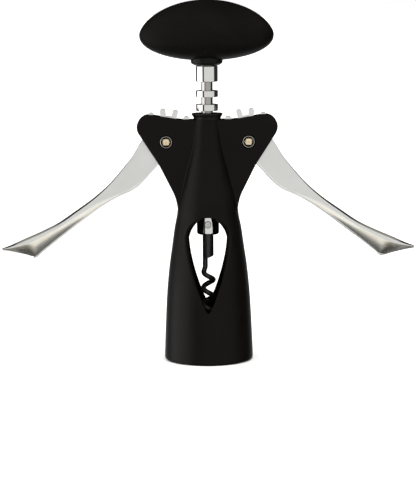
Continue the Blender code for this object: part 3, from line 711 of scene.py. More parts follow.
def toothed_boss_tree():
    """Nodes for the boss: a plain round, a toothed sector, and round-ended teeth at one spacing round it."""
    sizes = ["Tooth Width", "Tip Radius", "Root Radius", "Boss Radius", "Thickness"]
    wanted = {INTEGER: ["Teeth"], FLOAT: ["Teeth per Turn", "First Tooth"] + sizes}
    wanted.update({VECTOR: ["Place"], MATERIAL: ["Finish"]})
    tree, start, end = new_tree("toothed_boss", "GeometryNodeTree", wanted, {GEOMETRY: ["Mesh"]})
    cut_plate = cut_plate_tree()
    spacing = maths(tree, "DIVIDE", 2 * math.pi, start["Teeth per Turn"])
    inner = product(tree, start["Root Radius"], 0.62)
    bar = {"Width": maths(tree, "SUBTRACT", start["Tip Radius"], inner), "Height": start["Tooth Width"]}
    outline = shaped(tree, "CurvePrimitiveQuadrilateral", bar)
    round_ends = {"Curve": outline, "Count": 8, "Radius": product(tree, start["Tooth Width"], 0.499)}
    outline = shaped(tree, "FilletCurve", round_ends, mode="POLY")
    tooth = group_node(tree, cut_plate, {"Curve": outline, "Thickness": start["Thickness"]})[0]
    middle = product(tree, maths(tree, "ADD", start["Tip Radius"], inner), 0.5)
    out = vector(tree, X=middle)
    tooth = shaped(tree, "Transform", {"Geometry": tooth, "Translation": out})
    number = shaped(tree, "InputIndex")
    turn = maths(tree, "MULTIPLY_ADD", number, spacing, start["First Tooth"])
    about_axis = vector(tree, Z=turn)
    seats = {"Count": start["Teeth"], "Offset": (0.0, 0.0, 0.0)}
    seats = shaped(tree, "MeshLine", seats)
    teeth = {"Points": seats, "Instance": tooth, "Rotation": about_axis}
    teeth = shaped(tree, "InstanceOnPoints", teeth)
    teeth = shaped(tree, "RealizeInstances", {"Geometry": teeth})
    sector = {
        "Resolution": 72,
        "Radius": start["Root Radius"],
        "Start Angle": maths(tree, "MULTIPLY_ADD", spacing, -0.5, start["First Tooth"]),
        "Sweep Angle": product(tree, spacing, start["Teeth"]),
        "Connect Center": True,
    }
    sector = shaped(tree, "CurveArc", sector, mode="RADIUS")
    sector = group_node(tree, cut_plate, {"Curve": sector, "Thickness": start["Thickness"]})[0]
    boss = {"Vertices": 96, "Radius": start["Boss Radius"], "Depth": start["Thickness"]}
    boss = shaped(tree, "MeshCylinder", boss)
    whole = joined(tree, (boss, sector, teeth), "EXACT")
    upright = {"Geometry": whole, "Rotation": (math.radians(90), 0, 0), "Translation": start["Place"]}
    return finished_tree(tree, shaped(tree, "Transform", upright), start, end)


def grown(obj, tree, values):
    """Gives an object a node tree with its named sizes, and returns the plain mesh that it makes."""
    step = obj.modifiers.new(tree.name, "NODES")
    step.node_group = tree
    for item in tree.interface.items_tree:
        if item.name in values:
            step[item.identifier] = values[item.name]
    return settle(obj)


def softened(obj, width, angle_deg=50, segments=2):
    """Breaks an object's sharp edges."""
    step = obj.modifiers.new("Broken edges", "BEVEL")
    step.width = width * MM
    step.segments = segments
    step.limit_method = "ANGLE"
    step.angle_limit = math.radians(angle_deg)
    return settle(obj)


def fine_scratches():
    """Hairline marks in two directions, as a value from 0 to 1."""
    wanted = {VECTOR: ["Vector"], FLOAT: ["Scale", "Amount"]}
    tree, start, end = new_tree("fine_scratches", "ShaderNodeTree", wanted, {FLOAT: ["Marks"]})
    marks = None
    for turn, stretch in (((0.3, 0.9, 0.5), (1.0, 0.03, 1.0)), ((1.1, 0.2, -0.6), (0.04, 1.0, 1.0))):
        lined = {"Vector": start["Vector"], "Rotation": turn, "Scale": stretch}
        lined = add_node(tree, "ShaderNodeMapping", lined).outputs[0]
        cloud = noise(tree, lined, product(tree, start["Scale"], 8.0), 1.0)
        ridge = maths(tree, "ABSOLUTE", maths(tree, "SUBTRACT", cloud, 0.5))
        hair = remap(tree, ridge, 0.012, 0.0)
        marks = hair if marks is None else maths(tree, "MAXIMUM", marks, hair)
    gate = remap(tree, noise(tree, start["Vector"], 90.0, 2.0), 0.45, 0.7)
    tree.links.new(product(tree, product(tree, marks, gate), start["Amount"]), end["Marks"])
    return tree


SCRATCHES = fine_scratches()


def from_pivot(tree, where):
    """The distance from the nearer pivot's axis, in metres."""
    parts = add_node(tree, "ShaderNodeSeparateXYZ", {0: where}).outputs
    across = maths(tree, "SUBTRACT", maths(tree, "ABSOLUTE", parts["X"]), PIVOT_X * MM)
    up = maths(tree, "SUBTRACT", parts["Z"], PIVOT_Z * MM)
    square = maths(tree, "MULTIPLY_ADD", across, across, product(tree, up, up))
    return maths(tree, "SQRT", square)


def lever_chrome():
    """Chrome plate: bead-blasted satin on the blade's flat sides, and polished on ridge, flanks and leaf."""
    finish, tree, shader, where = new_finish("lever_chrome", 0.3, 1.0)
    polish = add_node(tree, "ShaderNodeAttribute", attribute_name="polish").outputs["Fac"]
    teeth = remap(tree, from_pivot(tree, where), (TOOTH_TIP_RADIUS + 0.6) * MM, (TOOTH_TIP_RADIUS + 0.3) * MM)
    height = add_node(tree, "ShaderNodeSeparateXYZ", {0: where}).outputs["Z"]
    teeth = product(tree, teeth, remap(tree, height, (PIVOT_Z + 5.0) * MM, (PIVOT_Z + 6.0) * MM))
    polish = maths(tree, "MAXIMUM", polish, teeth)
    marks = handling(tree, where, 5200.0, 55.0)
    hairs = group_node(tree, SCRATCHES, {"Vector": where, "Scale": 240.0, "Amount": 0.6})["Marks"]
    satin = mixed(tree, marks["Smudge"], (0.78, 0.785, 0.755), (0.82, 0.825, 0.80))
    bright = mixed(tree, marks["Smudge"], (0.80, 0.795, 0.77), (0.76, 0.755, 0.73))
    plated = mixed(tree, polish, satin, bright)
    tree.links.new(mixed(tree, product(tree, marks["Dust"], 0.3), plated, (0.5, 0.49, 0.46)),
                   shader["Base Color"])
    satin_gloss = grainy_gloss(tree, marks, 0.33, 0.42)
    depth = maths(tree, "ABSOLUTE", add_node(tree, "ShaderNodeSeparateXYZ", {0: where}).outputs["Y"])
    flank = remap(tree, depth, (RIDGE_HALF_WIDTH - 0.1) * MM, (RIDGE_HALF_WIDTH + 0.4) * MM, 0.05, 0.25)
    polished_gloss = maths(tree, "MULTIPLY_ADD", marks["Smudge"], 0.04, flank)
    gloss = add_node(tree, "ShaderNodeMix", {"Factor": polish}, data_type="FLOAT")
    tree.links.new(satin_gloss, gloss.inputs[2])
    tree.links.new(polished_gloss, gloss.inputs[3])
    tree.links.new(maths(tree, "MULTIPLY_ADD", hairs, 0.12, gloss.outputs[0]), shader["Roughness"])
    wave = noise(tree, where, 110.0, 1.0)
    blasted = product(tree, marks["Grain"], maths(tree, "SUBTRACT", 1.0, polish))
    raised(tree, shader, maths(tree, "MULTIPLY_ADD", blasted, 0.5, wave), 0.16, 0.03)
    return finish


def build_levers():
    """Both levers. The left one is the right one turned half round the shaft's axis."""
    finish = lever_chrome()
    boss = grown(
        link_mesh("wing_lever_right", [], []),
        toothed_boss_tree(),
        {
            "Teeth": TOOTH_COUNT,
            "Teeth per Turn": float(TEETH_PER_TURN),
            "First Tooth": math.radians(FIRST_TOOTH_DEG),
            "Tooth Width": TOOTH_WIDTH * MM,
            "Tip Radius": TOOTH_TIP_RADIUS * MM,
            "Root Radius": TOOTH_ROOT_RADIUS * MM,
            "Boss Radius": PLAIN_BOSS_RADIUS * MM,
            "Thickness": BLADE_THICKNESS * MM,
            "Place": (PIVOT_X * MM, 0.0, PIVOT_Z * MM),
            "Finish": finish,
        },
    )
    lever = softened(boss, 0.25)
    combine(lever, build_arm(), "UNION")
    wide = LEVER_BORE_RADIUS
    bore = turned("lever_bore", [(0.0, 8.0), (wide, 8.0), (wide, -8.0), (0.0, -8.0)], 48)
    along_y(bore, PIVOT_X, PIVOT_Z)
    shade(settle(combine(lever, bore, "DIFFERENCE")), 32, weighted=True)
    other = bpy.data.objects.new("wing_lever_left", lever.data.copy())
    other.data.transform(Matrix.Rotation(math.pi, 4, "Z"))
    bpy.context.scene.collection.objects.link(other)
    place(lever, finish, "wing_right", "lever_chrome", "lever_right")
    place(other, finish, "wing_left", "lever_chrome", "lever_left")


build_levers()


# Lever pivots. A nickelled brass pin crosses each pair of ears, its ends peened into low rounded squares. It
# turns in a steel ring set in each ear. The ring's recess and its face outside the rim are painted near black
# as shade, so its rim shows as a thin bright line.

pin_low, pin_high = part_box("pivot_pin_right")
bush_face = -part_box("pivot_bush_front_right")[0].y / MM
bush_back = -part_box("pivot_bush_front_right")[1].y / MM
PIN_HALF_LENGTH = pin_high.y / MM
PIN_RADIUS = (pin_high.x - pin_low.x) / MM / 2
HEAD_HALF_WIDTH = 1.68
RING_RADIUS = 3.45
RECESS_RADIUS = 2.84
RIM_WIDTH = 0.3
RECESS_DEPTH = 1.3


def build_pivot_pin(name, side):
    """A round pin whose section turns into a rounded square at each end."""
    head_start = PIN_HALF_LENGTH - 1.35
    stations = [(PIN_HALF_LENGTH, 0.0, 0.55), (PIN_HALF_LENGTH, 0.0, 0.9)]
    stations += [(PIN_HALF_LENGTH - 0.06, 0.0, 0.96), (PIN_HALF_LENGTH - 0.22, 0.0, 1.0)]
    stations += [(head_start, 0.0, 1.0), (head_start - 0.15, 1.0, 1.0)]
    rings = []
    for y, roundness, size in [(-y, r, s) for y, r, s in stations] + list(reversed(stations)):
        ring = []
        for k in range(64):
            turn = 2 * math.pi * k / 64
            across, up = math.cos(turn), math.sin(turn)
            square = HEAD_HALF_WIDTH / (abs(across) ** 5 + abs(up) ** 5) ** 0.2
            reach = size * (square + (PIN_RADIUS - 0.02 - square) * roundness)
            ring.append((side * PIVOT_X + across * reach, y, PIVOT_Z + up * reach))
        rings.append(ring)
    return shade(stacked(name, rings[::-1]), 35)


def build_pivot_ring(name, side, facing):
    """A ring in one ear, turned along Y: a thin rim round a recess, with the pin's bore in its floor."""
    face, floor = bush_face, bush_face - RECESS_DEPTH
    rim = RECESS_RADIUS + RIM_WIDTH
    outline = [(RECESS_RADIUS, face - 0.08), (RECESS_RADIUS + 0.08, face)]
    outline += [(rim - 0.08, face), (rim, face - 0.08)]
    outline += [(RING_RADIUS, face - 0.45), (RING_RADIUS, bush_back), (2.05, bush_back)]
    outline += [(2.05, floor - 0.15), (2.2, floor), (RECESS_RADIUS, floor)]
    ring = along_y(turned(name, outline, 96), side * PIVOT_X, PIVOT_Z)
    if facing > 0:
        about_pivot = Matrix.Translation((side * PIVOT_X * MM, 0, PIVOT_Z * MM))
        ring.data.transform(about_pivot @ Matrix.Rotation(math.pi, 4, "Z") @ about_pivot.inverted())
    return shade(ring, 35)


def nickelled_brass():
    """Pale nickelled brass, peened and faced, with faint rings and a warmer bruise at the middle."""
    finish, tree, shader, where = new_finish("nickelled_brass", 0.3, 1.0)
    reach = from_pivot(tree, where)
    marks = handling(tree, where, 3000.0, 600.0)
    rings = maths(tree, "SINE", product(tree, reach, 2 * math.pi / (0.16 * MM)))
    warm = mixed(tree, marks["Smudge"], (0.90, 0.77, 0.53), (0.78, 0.63, 0.38))
    centre = remap(tree, reach, 0.9 * MM, 0.2 * MM, 0.0, 0.35)
    tree.links.new(mixed(tree, centre, warm, (0.50, 0.38, 0.20)), shader["Base Color"])
    tree.links.new(grainy_gloss(tree, marks, 0.26, 0.42), shader["Roughness"])
    raised(tree, shader, maths(tree, "MULTIPLY_ADD", rings, 0.15, marks["Grain"]), 0.25, 0.02)
    return finish


def steel_ring_painted_shade():
    """Turned steel, bright on the rim. The recess and the face outside the rim are painted near black as
    shade.
    """
    finish, tree, shader, where = new_finish("steel_ring_painted_shade", 0.25, 1.0)
    reach = from_pivot(tree, where)
    marks = handling(tree, where, 3400.0, 300.0)
    rim = product(tree, remap(tree, reach, (RECESS_RADIUS - 0.04) * MM, RECESS_RADIUS * MM),
                remap(tree, reach, (RECESS_RADIUS + RIM_WIDTH + 0.08) * MM, (RECESS_RADIUS + RIM_WIDTH) * MM))
    bright = mixed(tree, marks["Smudge"], (0.52, 0.51, 0.48), (0.40, 0.39, 0.37))
    # Painted shade: all of the ring except its rim takes a near-black colour.
    tree.links.new(mixed(tree, rim, (0.012, 0.011, 0.010), bright), shader["Base Color"])
    tree.links.new(maths(tree, "MULTIPLY_ADD", rim, -0.3, 0.55), shader["Roughness"])
    raised(tree, shader, marks["Grain"], 0.15, 0.02)
    return finish


pin_finish = nickelled_brass()
ring_finish = steel_ring_painted_shade()
for word, side in (("left", -1), ("right", 1)):
    pin = build_pivot_pin("peened_pin_" + word, side)
    place(pin, pin_finish, "body", "pin_brass", "pivot_pin_" + word)
    for end, facing in (("front", -1), ("rear", 1)):
        ring = build_pivot_ring(f"pivot_ring_{end}_{word}", side, facing)
        place(ring, ring_finish, "body", "bush_steel", f"pivot_bush_{end}_{word}")


# Rack shaft. A turned and chromed steel bar. Its plain end takes the worm, seven rings are the round rack
# that the levers' teeth climb, and a cylinder and a thin tang run up into the knob.

shaft_low, shaft_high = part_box("rack_shaft")
SHAFT_RADIUS = shaft_high.x / MM
SHAFT_BOTTOM_Z = shaft_low.z / MM
TANG_TOP_Z = shaft_high.z / MM
CYLINDER_TOP_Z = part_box("knob_ferrule")[0].z / MM - 0.2
CYLINDER_BOTTOM_Z = 151.4
CYLINDER_RADIUS = 6.0
TANG_RADIUS = 4.0
NECK_RADIUS = 3.15
RACK_PITCH = 7.35
RING_COUNT = 7
RING_WIDTH = 3.6
SHAFT_CHAMFER = 0.42
LOWEST_RING_Z = 100.83
PLAIN_END_TOP_Z = 95.3
SOCKET_RADIUS = 3.15
SOCKET_TOP_Z = 81.5
WORM_PIN_Z = 74.4
WORM_PIN_RADIUS = 1.7


def ringed_rack_tree():
    """Nodes that set chamfered rings at one pitch up a shaft and join them to it."""
    sizes = ["Pitch", "Ring Radius", "Ring Width", "Core Radius", "Chamfer", "Lowest Height"]
    wanted = {GEOMETRY: ["Shaft"], INTEGER: ["Rings"], FLOAT: sizes, MATERIAL: ["Finish"]}
    tree, start, end = new_tree("ringed_rack", "GeometryNodeTree", wanted, {GEOMETRY: ["Mesh"]})
    section = {"Width": maths(tree, "SUBTRACT", start["Ring Radius"], start["Core Radius"])}
    section["Height"] = start["Ring Width"]
    section = shaped(tree, "CurvePrimitiveQuadrilateral", section)
    chamfered = {"Curve": section, "Count": 3, "Radius": start["Chamfer"]}
    section = shaped(tree, "FilletCurve", chamfered, mode="POLY")
    middle = product(tree, maths(tree, "ADD", start["Ring Radius"], start["Core Radius"]), 0.5)
    circle = {"Resolution": TURNED_SEGMENTS, "Radius": middle}
    circle = shaped(tree, "CurvePrimitiveCircle", circle)
    ring = shaped(tree, "CurveToMesh", {"Curve": circle, "Profile Curve": section})
    lowest = vector(tree, Z=start["Lowest Height"])
    pitch = vector(tree, Z=start["Pitch"])
    row = {"Count": start["Rings"], "Start Location": lowest, "Offset": pitch}
    row = shaped(tree, "MeshLine", row)
    rings = shaped(tree, "InstanceOnPoints", {"Points": row, "Instance": ring})
    rings = shaped(tree, "RealizeInstances", {"Geometry": rings})
    return finished_tree(tree, joined(tree, (rings, start["Shaft"]), "MANIFOLD"), start, end)


def cross_hole(name, radius, mouth_y, x, z):
    """A cutter for a hole along Y whose mouths are broken with a small bevel."""
    half = [(0.0, 30.0), (radius + 0.2, 30.0), (radius + 0.2, mouth_y - 0.05), (radius, mouth_y - 0.3)]
    return along_y(turned(name, half + [(r, -y) for r, y in reversed(half)], 48), x, z)


def turned_chrome():
    """Bright chrome over a turned bar: fine turning lines round the axis, hairline wear, and duller grooves.
    The grooves between the rings and the other narrow parts are painted darker as shade.
    """
    finish, tree, shader, where = new_finish("turned_chrome", 0.08, 1.0)
    parts = add_node(tree, "ShaderNodeSeparateXYZ", {0: where}).outputs
    reach = maths(tree, "MULTIPLY_ADD", parts["X"], parts["X"], product(tree, parts["Y"], parts["Y"]))
    reach = maths(tree, "SQRT", reach)
    outer = remap(tree, reach, (NECK_RADIUS + 0.2) * MM, (CYLINDER_RADIUS - 0.3) * MM)
    marks = handling(tree, where, 3000.0, 60.0)
    hairs = group_node(tree, SCRATCHES, {"Vector": where, "Scale": 300.0, "Amount": 0.7})["Marks"]
    squeezed = add_node(tree, "ShaderNodeMapping", {"Vector": where, "Scale": (0.02, 0.02, 1.0)}).outputs[0]
    lines = noise(tree, squeezed, 2400.0, 2.0)
    bright = mixed(tree, marks["Smudge"], (0.78, 0.775, 0.75), (0.73, 0.725, 0.70))
    # Painted shade: the colour is darker below the cylinder's radius, and darkest in the grooves between the
    # rings.
    tree.links.new(mixed(tree, outer, (0.42, 0.41, 0.39), bright), shader["Base Color"])
    groove = maths(tree, "MULTIPLY_ADD", outer, -0.14, 0.21)
    gloss = maths(tree, "ADD", groove, product(tree, marks["Smudge"], 0.03))
    tree.links.new(maths(tree, "MULTIPLY_ADD", hairs, 0.1, gloss), shader["Roughness"])
    raised(tree, shader, lines, 0.12, 0.01)
    return finish


def build_shaft(finish):
    edge = SHAFT_CHAMFER
    side = [(0.0, TANG_TOP_Z), (TANG_RADIUS - edge, TANG_TOP_Z), (TANG_RADIUS, TANG_TOP_Z - edge)]
    side += [(TANG_RADIUS, CYLINDER_TOP_Z), (CYLINDER_RADIUS - 0.3, CYLINDER_TOP_Z)]
    side += [(CYLINDER_RADIUS, CYLINDER_TOP_Z - 0.3)]
    side += arc((CYLINDER_RADIUS - edge, CYLINDER_BOTTOM_Z + edge), edge, 0, -90, 4)
    side += arc((NECK_RADIUS + 0.25, CYLINDER_BOTTOM_Z - 0.25), 0.25, 90, 180, 4)
    side += arc((NECK_RADIUS + 0.25, PLAIN_END_TOP_Z + 0.25), 0.25, 180, 270, 4)
    side += arc((SHAFT_RADIUS - edge, PLAIN_END_TOP_Z - edge), edge, 90, 0, 4)
    side += arc((SHAFT_RADIUS - 1.3, SHAFT_BOTTOM_Z + 1.3), 1.3, 0, -90, 8)
    side += [(SOCKET_RADIUS + 0.25, SHAFT_BOTTOM_Z), (SOCKET_RADIUS, SHAFT_BOTTOM_Z + 0.25)]
    side += [(SOCKET_RADIUS, SOCKET_TOP_Z - 1.5), (0.0, SOCKET_TOP_Z)]
    shaft = grown(
        turned("ringed_shaft", side),
        ringed_rack_tree(),
        {
            "Rings": RING_COUNT,
            "Pitch": RACK_PITCH * MM,
            "Ring Radius": SHAFT_RADIUS * MM,
            "Ring Width": RING_WIDTH * MM,
            "Core Radius": (NECK_RADIUS - 0.8) * MM,
            "Chamfer": SHAFT_CHAMFER * MM,
            "Lowest Height": LOWEST_RING_Z * MM,
            "Finish": finish,
        },
    )
    pin_hole = cross_hole("worm_pin_hole", WORM_PIN_RADIUS + 0.1, SHAFT_RADIUS, 0.0, WORM_PIN_Z)
    combine(shaft, pin_hole, "DIFFERENCE")
    return shade(settle(shaft), 25, weighted=True)


shaft_finish = turned_chrome()
place(build_shaft(shaft_finish), shaft_finish, "spindle", "shaft_chrome", "rack_shaft")


# Worm. Spring-steel wire with a slippery dark coating. Its shank sits in the shaft's socket and is cut
# away to one side, where the wire bends out into an open helix that ends in a ground point.

SHANK_TOP_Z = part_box("worm")[1].z / MM
WORM_TIP_Z = 8.0
SHANK_RADIUS = 3.0
SHANK_BOTTOM_Z = 56.5
WIRE_RADIUS = 1.4
HELIX_RADIUS = 2.7
HELIX_TOP_Z = 48.0
HELIX_PITCH = 9.0
GROUND_LENGTH = 13.0


def wire_worm_tree():
    """Nodes that bend a round wire from a straight run into a pointed helix, and join it to the shank."""
    sizes = ["Wire Radius", "Helix Radius", "Run Radius", "Pitch", "Top Height", "Helix Height"]
    sizes += ["Tip Height", "Ground Length"]
    wanted = {GEOMETRY: ["Shank"], INTEGER: ["Points"], FLOAT: sizes, MATERIAL: ["Finish"]}
    tree, start, end = new_tree("wire_worm", "GeometryNodeTree", wanted, {GEOMETRY: ["Mesh"]})
    line = shaped(tree, "MeshLine", {"Count": start["Points"]})
    number = shaped(tree, "InputIndex")
    share = maths(tree, "DIVIDE", number, maths(tree, "SUBTRACT", start["Points"], 1.0))
    height = product(tree, share, maths(tree, "SUBTRACT", start["Tip Height"], start["Top Height"]))
    height = maths(tree, "ADD", height, start["Top Height"])
    below = maths(tree, "SUBTRACT", start["Helix Height"], height)
    wound = maths(tree, "SMOOTH_MAX", below, 0.0, product(tree, start["Wire Radius"], 1.6))
    angle = maths(tree, "MULTIPLY_ADD", maths(tree, "DIVIDE", wound, start["Pitch"]), 2 * math.pi, math.pi)
    spread = maths(tree, "DIVIDE", below, start["Wire Radius"])
    spread = remap(tree, spread, -2.2, 0.7)
    wider = maths(tree, "SUBTRACT", start["Helix Radius"], start["Run Radius"])
    reach = maths(tree, "MULTIPLY_ADD", spread, wider, start["Run Radius"])
    across, deep = [product(tree, reach, maths(tree, turn, angle)) for turn in ("COSINE", "SINE")]
    spot = vector(tree, X=across, Y=deep, Z=height)
    bent = shaped(tree, "SetPosition", {"Geometry": line, "Position": spot})
    path = shaped(tree, "MeshToCurve", {"Mesh": bent})
    along = add_node(tree, "GeometryNodeSplineParameter").outputs
    whole = add_node(tree, "GeometryNodeSplineLength").outputs["Length"]
    left = maths(tree, "SUBTRACT", whole, along["Length"])
    point = maths(tree, "POWER", remap(tree, left, 0.0, start["Ground Length"], smooth_step=False), 0.75)
    sized = maths(tree, "MAXIMUM", point, 0.06)
    path = shaped(tree, "SetCurveRadius", {"Curve": path, "Radius": sized})
    round_wire = {"Resolution": 28, "Radius": start["Wire Radius"]}
    round_wire = shaped(tree, "CurvePrimitiveCircle", round_wire)
    swept = {"Curve": path, "Profile Curve": round_wire, "Scale": sized, "Fill Caps": True}
    wire = shaped(tree, "CurveToMesh", swept)
    wire = shaped(tree, "MergeByDistance", {"Geometry": wire, "Distance": 1e-6})
    return finished_tree(tree, joined(tree, (wire, start["Shank"]), "MANIFOLD"), start, end)


def dark_coating():
    """A slippery dark coating with a faint sheen, rubbed back to steel at the worm's point."""
    finish, tree, shader, where = new_finish("slippery_dark_coating", 0.36, 0.0, specular=0.5)
    marks = handling(tree, where, 2800.0, 160.0)
    dark = mixed(tree, marks["Smudge"], (0.011, 0.0105, 0.010), (0.02, 0.019, 0.0175))
    height = add_node(tree, "ShaderNodeSeparateXYZ", {0: where}).outputs["Z"]
    rubbed = remap(tree, height, (WORM_TIP_Z + 3.5) * MM, (WORM_TIP_Z + 0.5) * MM)
    rubbed = product(tree, rubbed, remap(tree, marks["Grain"], 0.42, 0.56))
    tree.links.new(mixed(tree, rubbed, dark, (0.34, 0.33, 0.31)), shader["Base Color"])
    tree.links.new(product(tree, rubbed, 0.9), shader["Metallic"])
    tree.links.new(grainy_gloss(tree, marks, 0.30, 0.42), shader["Roughness"])
    raised(tree, shader, marks["Grain"], 0.2, 0.02)
    return finish


def build_worm(finish):
    side = [(0.0, SHANK_TOP_Z), (SHANK_RADIUS - 0.5, SHANK_TOP_Z), (SHANK_RADIUS, SHANK_TOP_Z - 0.5)]
    side += [(SHANK_RADIUS, SHANK_BOTTOM_Z - 1.2), (0.0, SHANK_BOTTOM_Z - 1.2)]
    shank = turned("worm_shank", side, 64)
    step = [(-0.5, SHANK_BOTTOM_Z - 4.0), (6.0, SHANK_BOTTOM_Z - 4.0), (6.0, SHANK_BOTTOM_Z + 1.6)]
    step += [(-0.5, SHANK_BOTTOM_Z - 0.9)]
    combine(shank, plate("worm_step", step, 6.0), "DIFFERENCE")
    pin_hole = cross_hole("worm_shank_hole", WORM_PIN_RADIUS + 0.1, SHANK_RADIUS, 0.0, WORM_PIN_Z)
    combine(shank, pin_hole, "DIFFERENCE")
    worm = grown(
        settle(shank),
        wire_worm_tree(),
        {
            "Points": 420,
            "Wire Radius": WIRE_RADIUS * MM,
            "Helix Radius": HELIX_RADIUS * MM,
            "Run Radius": (SHANK_RADIUS - WIRE_RADIUS) * MM,
            "Pitch": HELIX_PITCH * MM,
            "Top Height": (SHANK_BOTTOM_Z + 3.0) * MM,
            "Helix Height": HELIX_TOP_Z * MM,
            "Tip Height": WORM_TIP_Z * MM,
            "Ground Length": GROUND_LENGTH * MM,
            "Finish": finish,
        },
    )
    return shade(worm, 40)


worm_finish = dark_coating()
place(build_worm(worm_finish), worm_finish, "spindle", "worm_coating", "worm")


# Worm pin. A plain steel pin driven through the shaft and the worm's shank, faced off flush with the shaft
# and left with a small turned pip on its ends.

worm_pin_face = -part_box("worm_pin")[0].y / MM


def build_worm_pin():
    radius, face = WORM_PIN_RADIUS, worm_pin_face
    side = [(0.0, face - 0.12), (0.28, face - 0.1), (0.42, face)]
    side += arc((radius - 0.25, face - 0.25), 0.25, 90, 0, 4)
    side += [(r, -height) for r, height in reversed(side)]
    pin = turned("shank_cross_pin", side, 64)
    return shade(along_y(pin, 0.0, WORM_PIN_Z), 35)


def bright_steel():
    """Drawn and ground steel, a little duller than the chrome round it."""
    finish, tree, shader, where = new_finish("bright_pin_steel", 0.2, 1.0)
    marks = handling(tree, where, 3600.0, 400.0)
    tree.links.new(mixed(tree, marks["Smudge"], (0.62, 0.61, 0.58), (0.48, 0.47, 0.45)), shader["Base Color"])
    tree.links.new(grainy_gloss(tree, marks, 0.16, 0.3), shader["Roughness"])
    raised(tree, shader, marks["Grain"], 0.2, 0.015)
    return finish


pin_steel = bright_steel()
place(build_worm_pin(), pin_steel, "spindle", "cross_pin_steel", "worm_pin")


# Knob ferrule. A black moulded sleeve on the tang, closed over the top of the cylinder and sunk into the
# knob.

ferrule_low, ferrule_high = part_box("knob_ferrule")
FERRULE_RADIUS = ferrule_high.x / MM
FERRULE_BOTTOM_Z = ferrule_low.z / MM
FERRULE_TOP_Z = ferrule_high.z / MM
FERRULE_BORE = TANG_RADIUS + 0.15


def build_ferrule():
    foot = FERRULE_BOTTOM_Z
    side = [(FERRULE_RADIUS, FERRULE_TOP_Z), (FERRULE_RADIUS, foot + 2.0)]
    flare = [(FERRULE_RADIUS, foot + 1.9), (FERRULE_RADIUS - 0.25, foot + 1.25), (7.4, foot + 0.5)]
    side += smooth_line(flare)
    side += [(6.3, foot + 0.05), (6.1, foot), (FERRULE_BORE, foot), (FERRULE_BORE, FERRULE_TOP_Z)]
    return shade(turned("knob_sleeve", side), 35)


sleeve_plastic = moulded_nylon("knob_sleeve_plastic", (0.0035, 0.003, 0.0028), 0.34)
place(build_ferrule(), sleeve_plastic, "spindle", "ferrule_black", "knob_ferrule")


# Knob. An oval core of hard plastic carries the tang, held by a cross pin, and a soft grip with a velvety
# black skin is moulded over it. The grip is taller and leaner above its widest line than below.

grip_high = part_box("knob_grip")[1]
KNOB_HALF_WIDTH = grip_high.x / MM
KNOB_HALF_DEPTH = grip_high.y / MM
KNOB_TOP_Z = grip_high.z / MM
KNOB_BOTTOM_Z = 162.7
KNOB_WIDEST_Z = 176.7
KNOB_UPPER_POWER = 1.62
KNOB_LOWER_POWER = 2.2
GRIP_THICKNESS = 2.5


def oval(name, inset, across, down):
    """An oval body from level rings, shrunk all round by the inset."""
    rings = []
    for i in range(down + 1):
        turn = math.pi * (0.004 + 0.992 * i / down)
        height = -math.cos(turn)
        power = KNOB_UPPER_POWER if height > 0 else KNOB_LOWER_POWER
        breadth = math.sqrt(1 - abs(height) ** power)
        reach = KNOB_TOP_Z - KNOB_WIDEST_Z if height > 0 else KNOB_WIDEST_Z - KNOB_BOTTOM_Z
        level = KNOB_WIDEST_Z + height * (reach - inset)
        ring = []
        for k in range(across):
            angle = 2 * math.pi * k / across
            x = (KNOB_HALF_WIDTH - inset) * breadth * math.cos(angle)
            ring.append((x, (KNOB_HALF_DEPTH - inset) * breadth * math.sin(angle), level))
        rings.append(ring)
    return stacked(name, rings)


def build_grip():
    grip = oval("soft_grip", 0.0, 192, 96)
    combine(grip, oval("core_room", GRIP_THICKNESS, 96, 48), "DIFFERENCE")
    mouth = FERRULE_RADIUS + 0.15
    below = KNOB_BOTTOM_Z - 12.0
    room = [(0.0, KNOB_WIDEST_Z), (mouth, KNOB_WIDEST_Z), (mouth, below), (0.0, below)]
    combine(grip, turned("ferrule_room", room), "DIFFERENCE")
    return shade(settle(grip), 35)


def soft_grip_skin():
    """Black thermoplastic rubber with a velvety, slightly dusty skin and broad handling smudges."""
    finish, tree, shader, where = new_finish("soft_grip_skin", 0.5, 0.0, specular=0.05)
    marks = handling(tree, where, 3200.0, 34.0)
    black = mixed(tree, marks["Smudge"], (0.0032, 0.0027, 0.0026), (0.0046, 0.0041, 0.0038))
    tree.links.new(mixed(tree, product(tree, marks["Dust"], 0.18), black, (0.10, 0.095, 0.09)),
                   shader["Base Color"])
    tree.links.new(remap(tree, marks["Smudge"], 0.0, 1.0, 0.46, 0.55), shader["Roughness"])
    raised(tree, shader, marks["Grain"], 0.28, 0.03)
    return finish


place(build_grip(), soft_grip_skin(), "spindle", "soft_touch_grip", "knob_grip")

# The core and its pin lie inside the grip, so the plain solids stay and take the finishes of the real
# pieces.
core_plastic = moulded_nylon("knob_core_plastic", (0.03, 0.03, 0.03), 0.45)
for node, finish in (("knob_core", core_plastic), ("handle_pin", pin_steel)):
    inner = frame["nodes"][node]
    inner.data.materials.clear()
    inner.data.materials.append(finish)


# Floor, light and camera. A plain pale floor under plain soft studio light: a softbox on the left, a wide
# dim one in front and to the right, and a band of light above them. The camera looks slightly down on the
# object.

CAMERA_DISTANCE = 1.06
CAMERA_TARGET_Z = 0.059
CAMERA_TILT_DEG = 8.0
CAMERA_ROLL_DEG = -0.44
CAMERA_LENS = 139.13
CAMERA_SHIFT_X = -0.0003
FLOOR_RADIUS = 10.0
DIM_SURROUND = 0.03
LAMP_STRENGTH = 3.8
LAMP_SPREAD_DEG = 60


def pale_paper():
    """Pale matt paper with a very faint mottle."""
    finish, tree, shader, where = new_finish("pale_floor_paper", 0.85, 0.0, specular=0.2)
    mottle = noise(tree, where, 3.0, 3.0)
    tree.links.new(mixed(tree, mottle, (0.93, 0.93, 0.93), (0.96, 0.96, 0.96)), shader["Base Color"])
    return finish


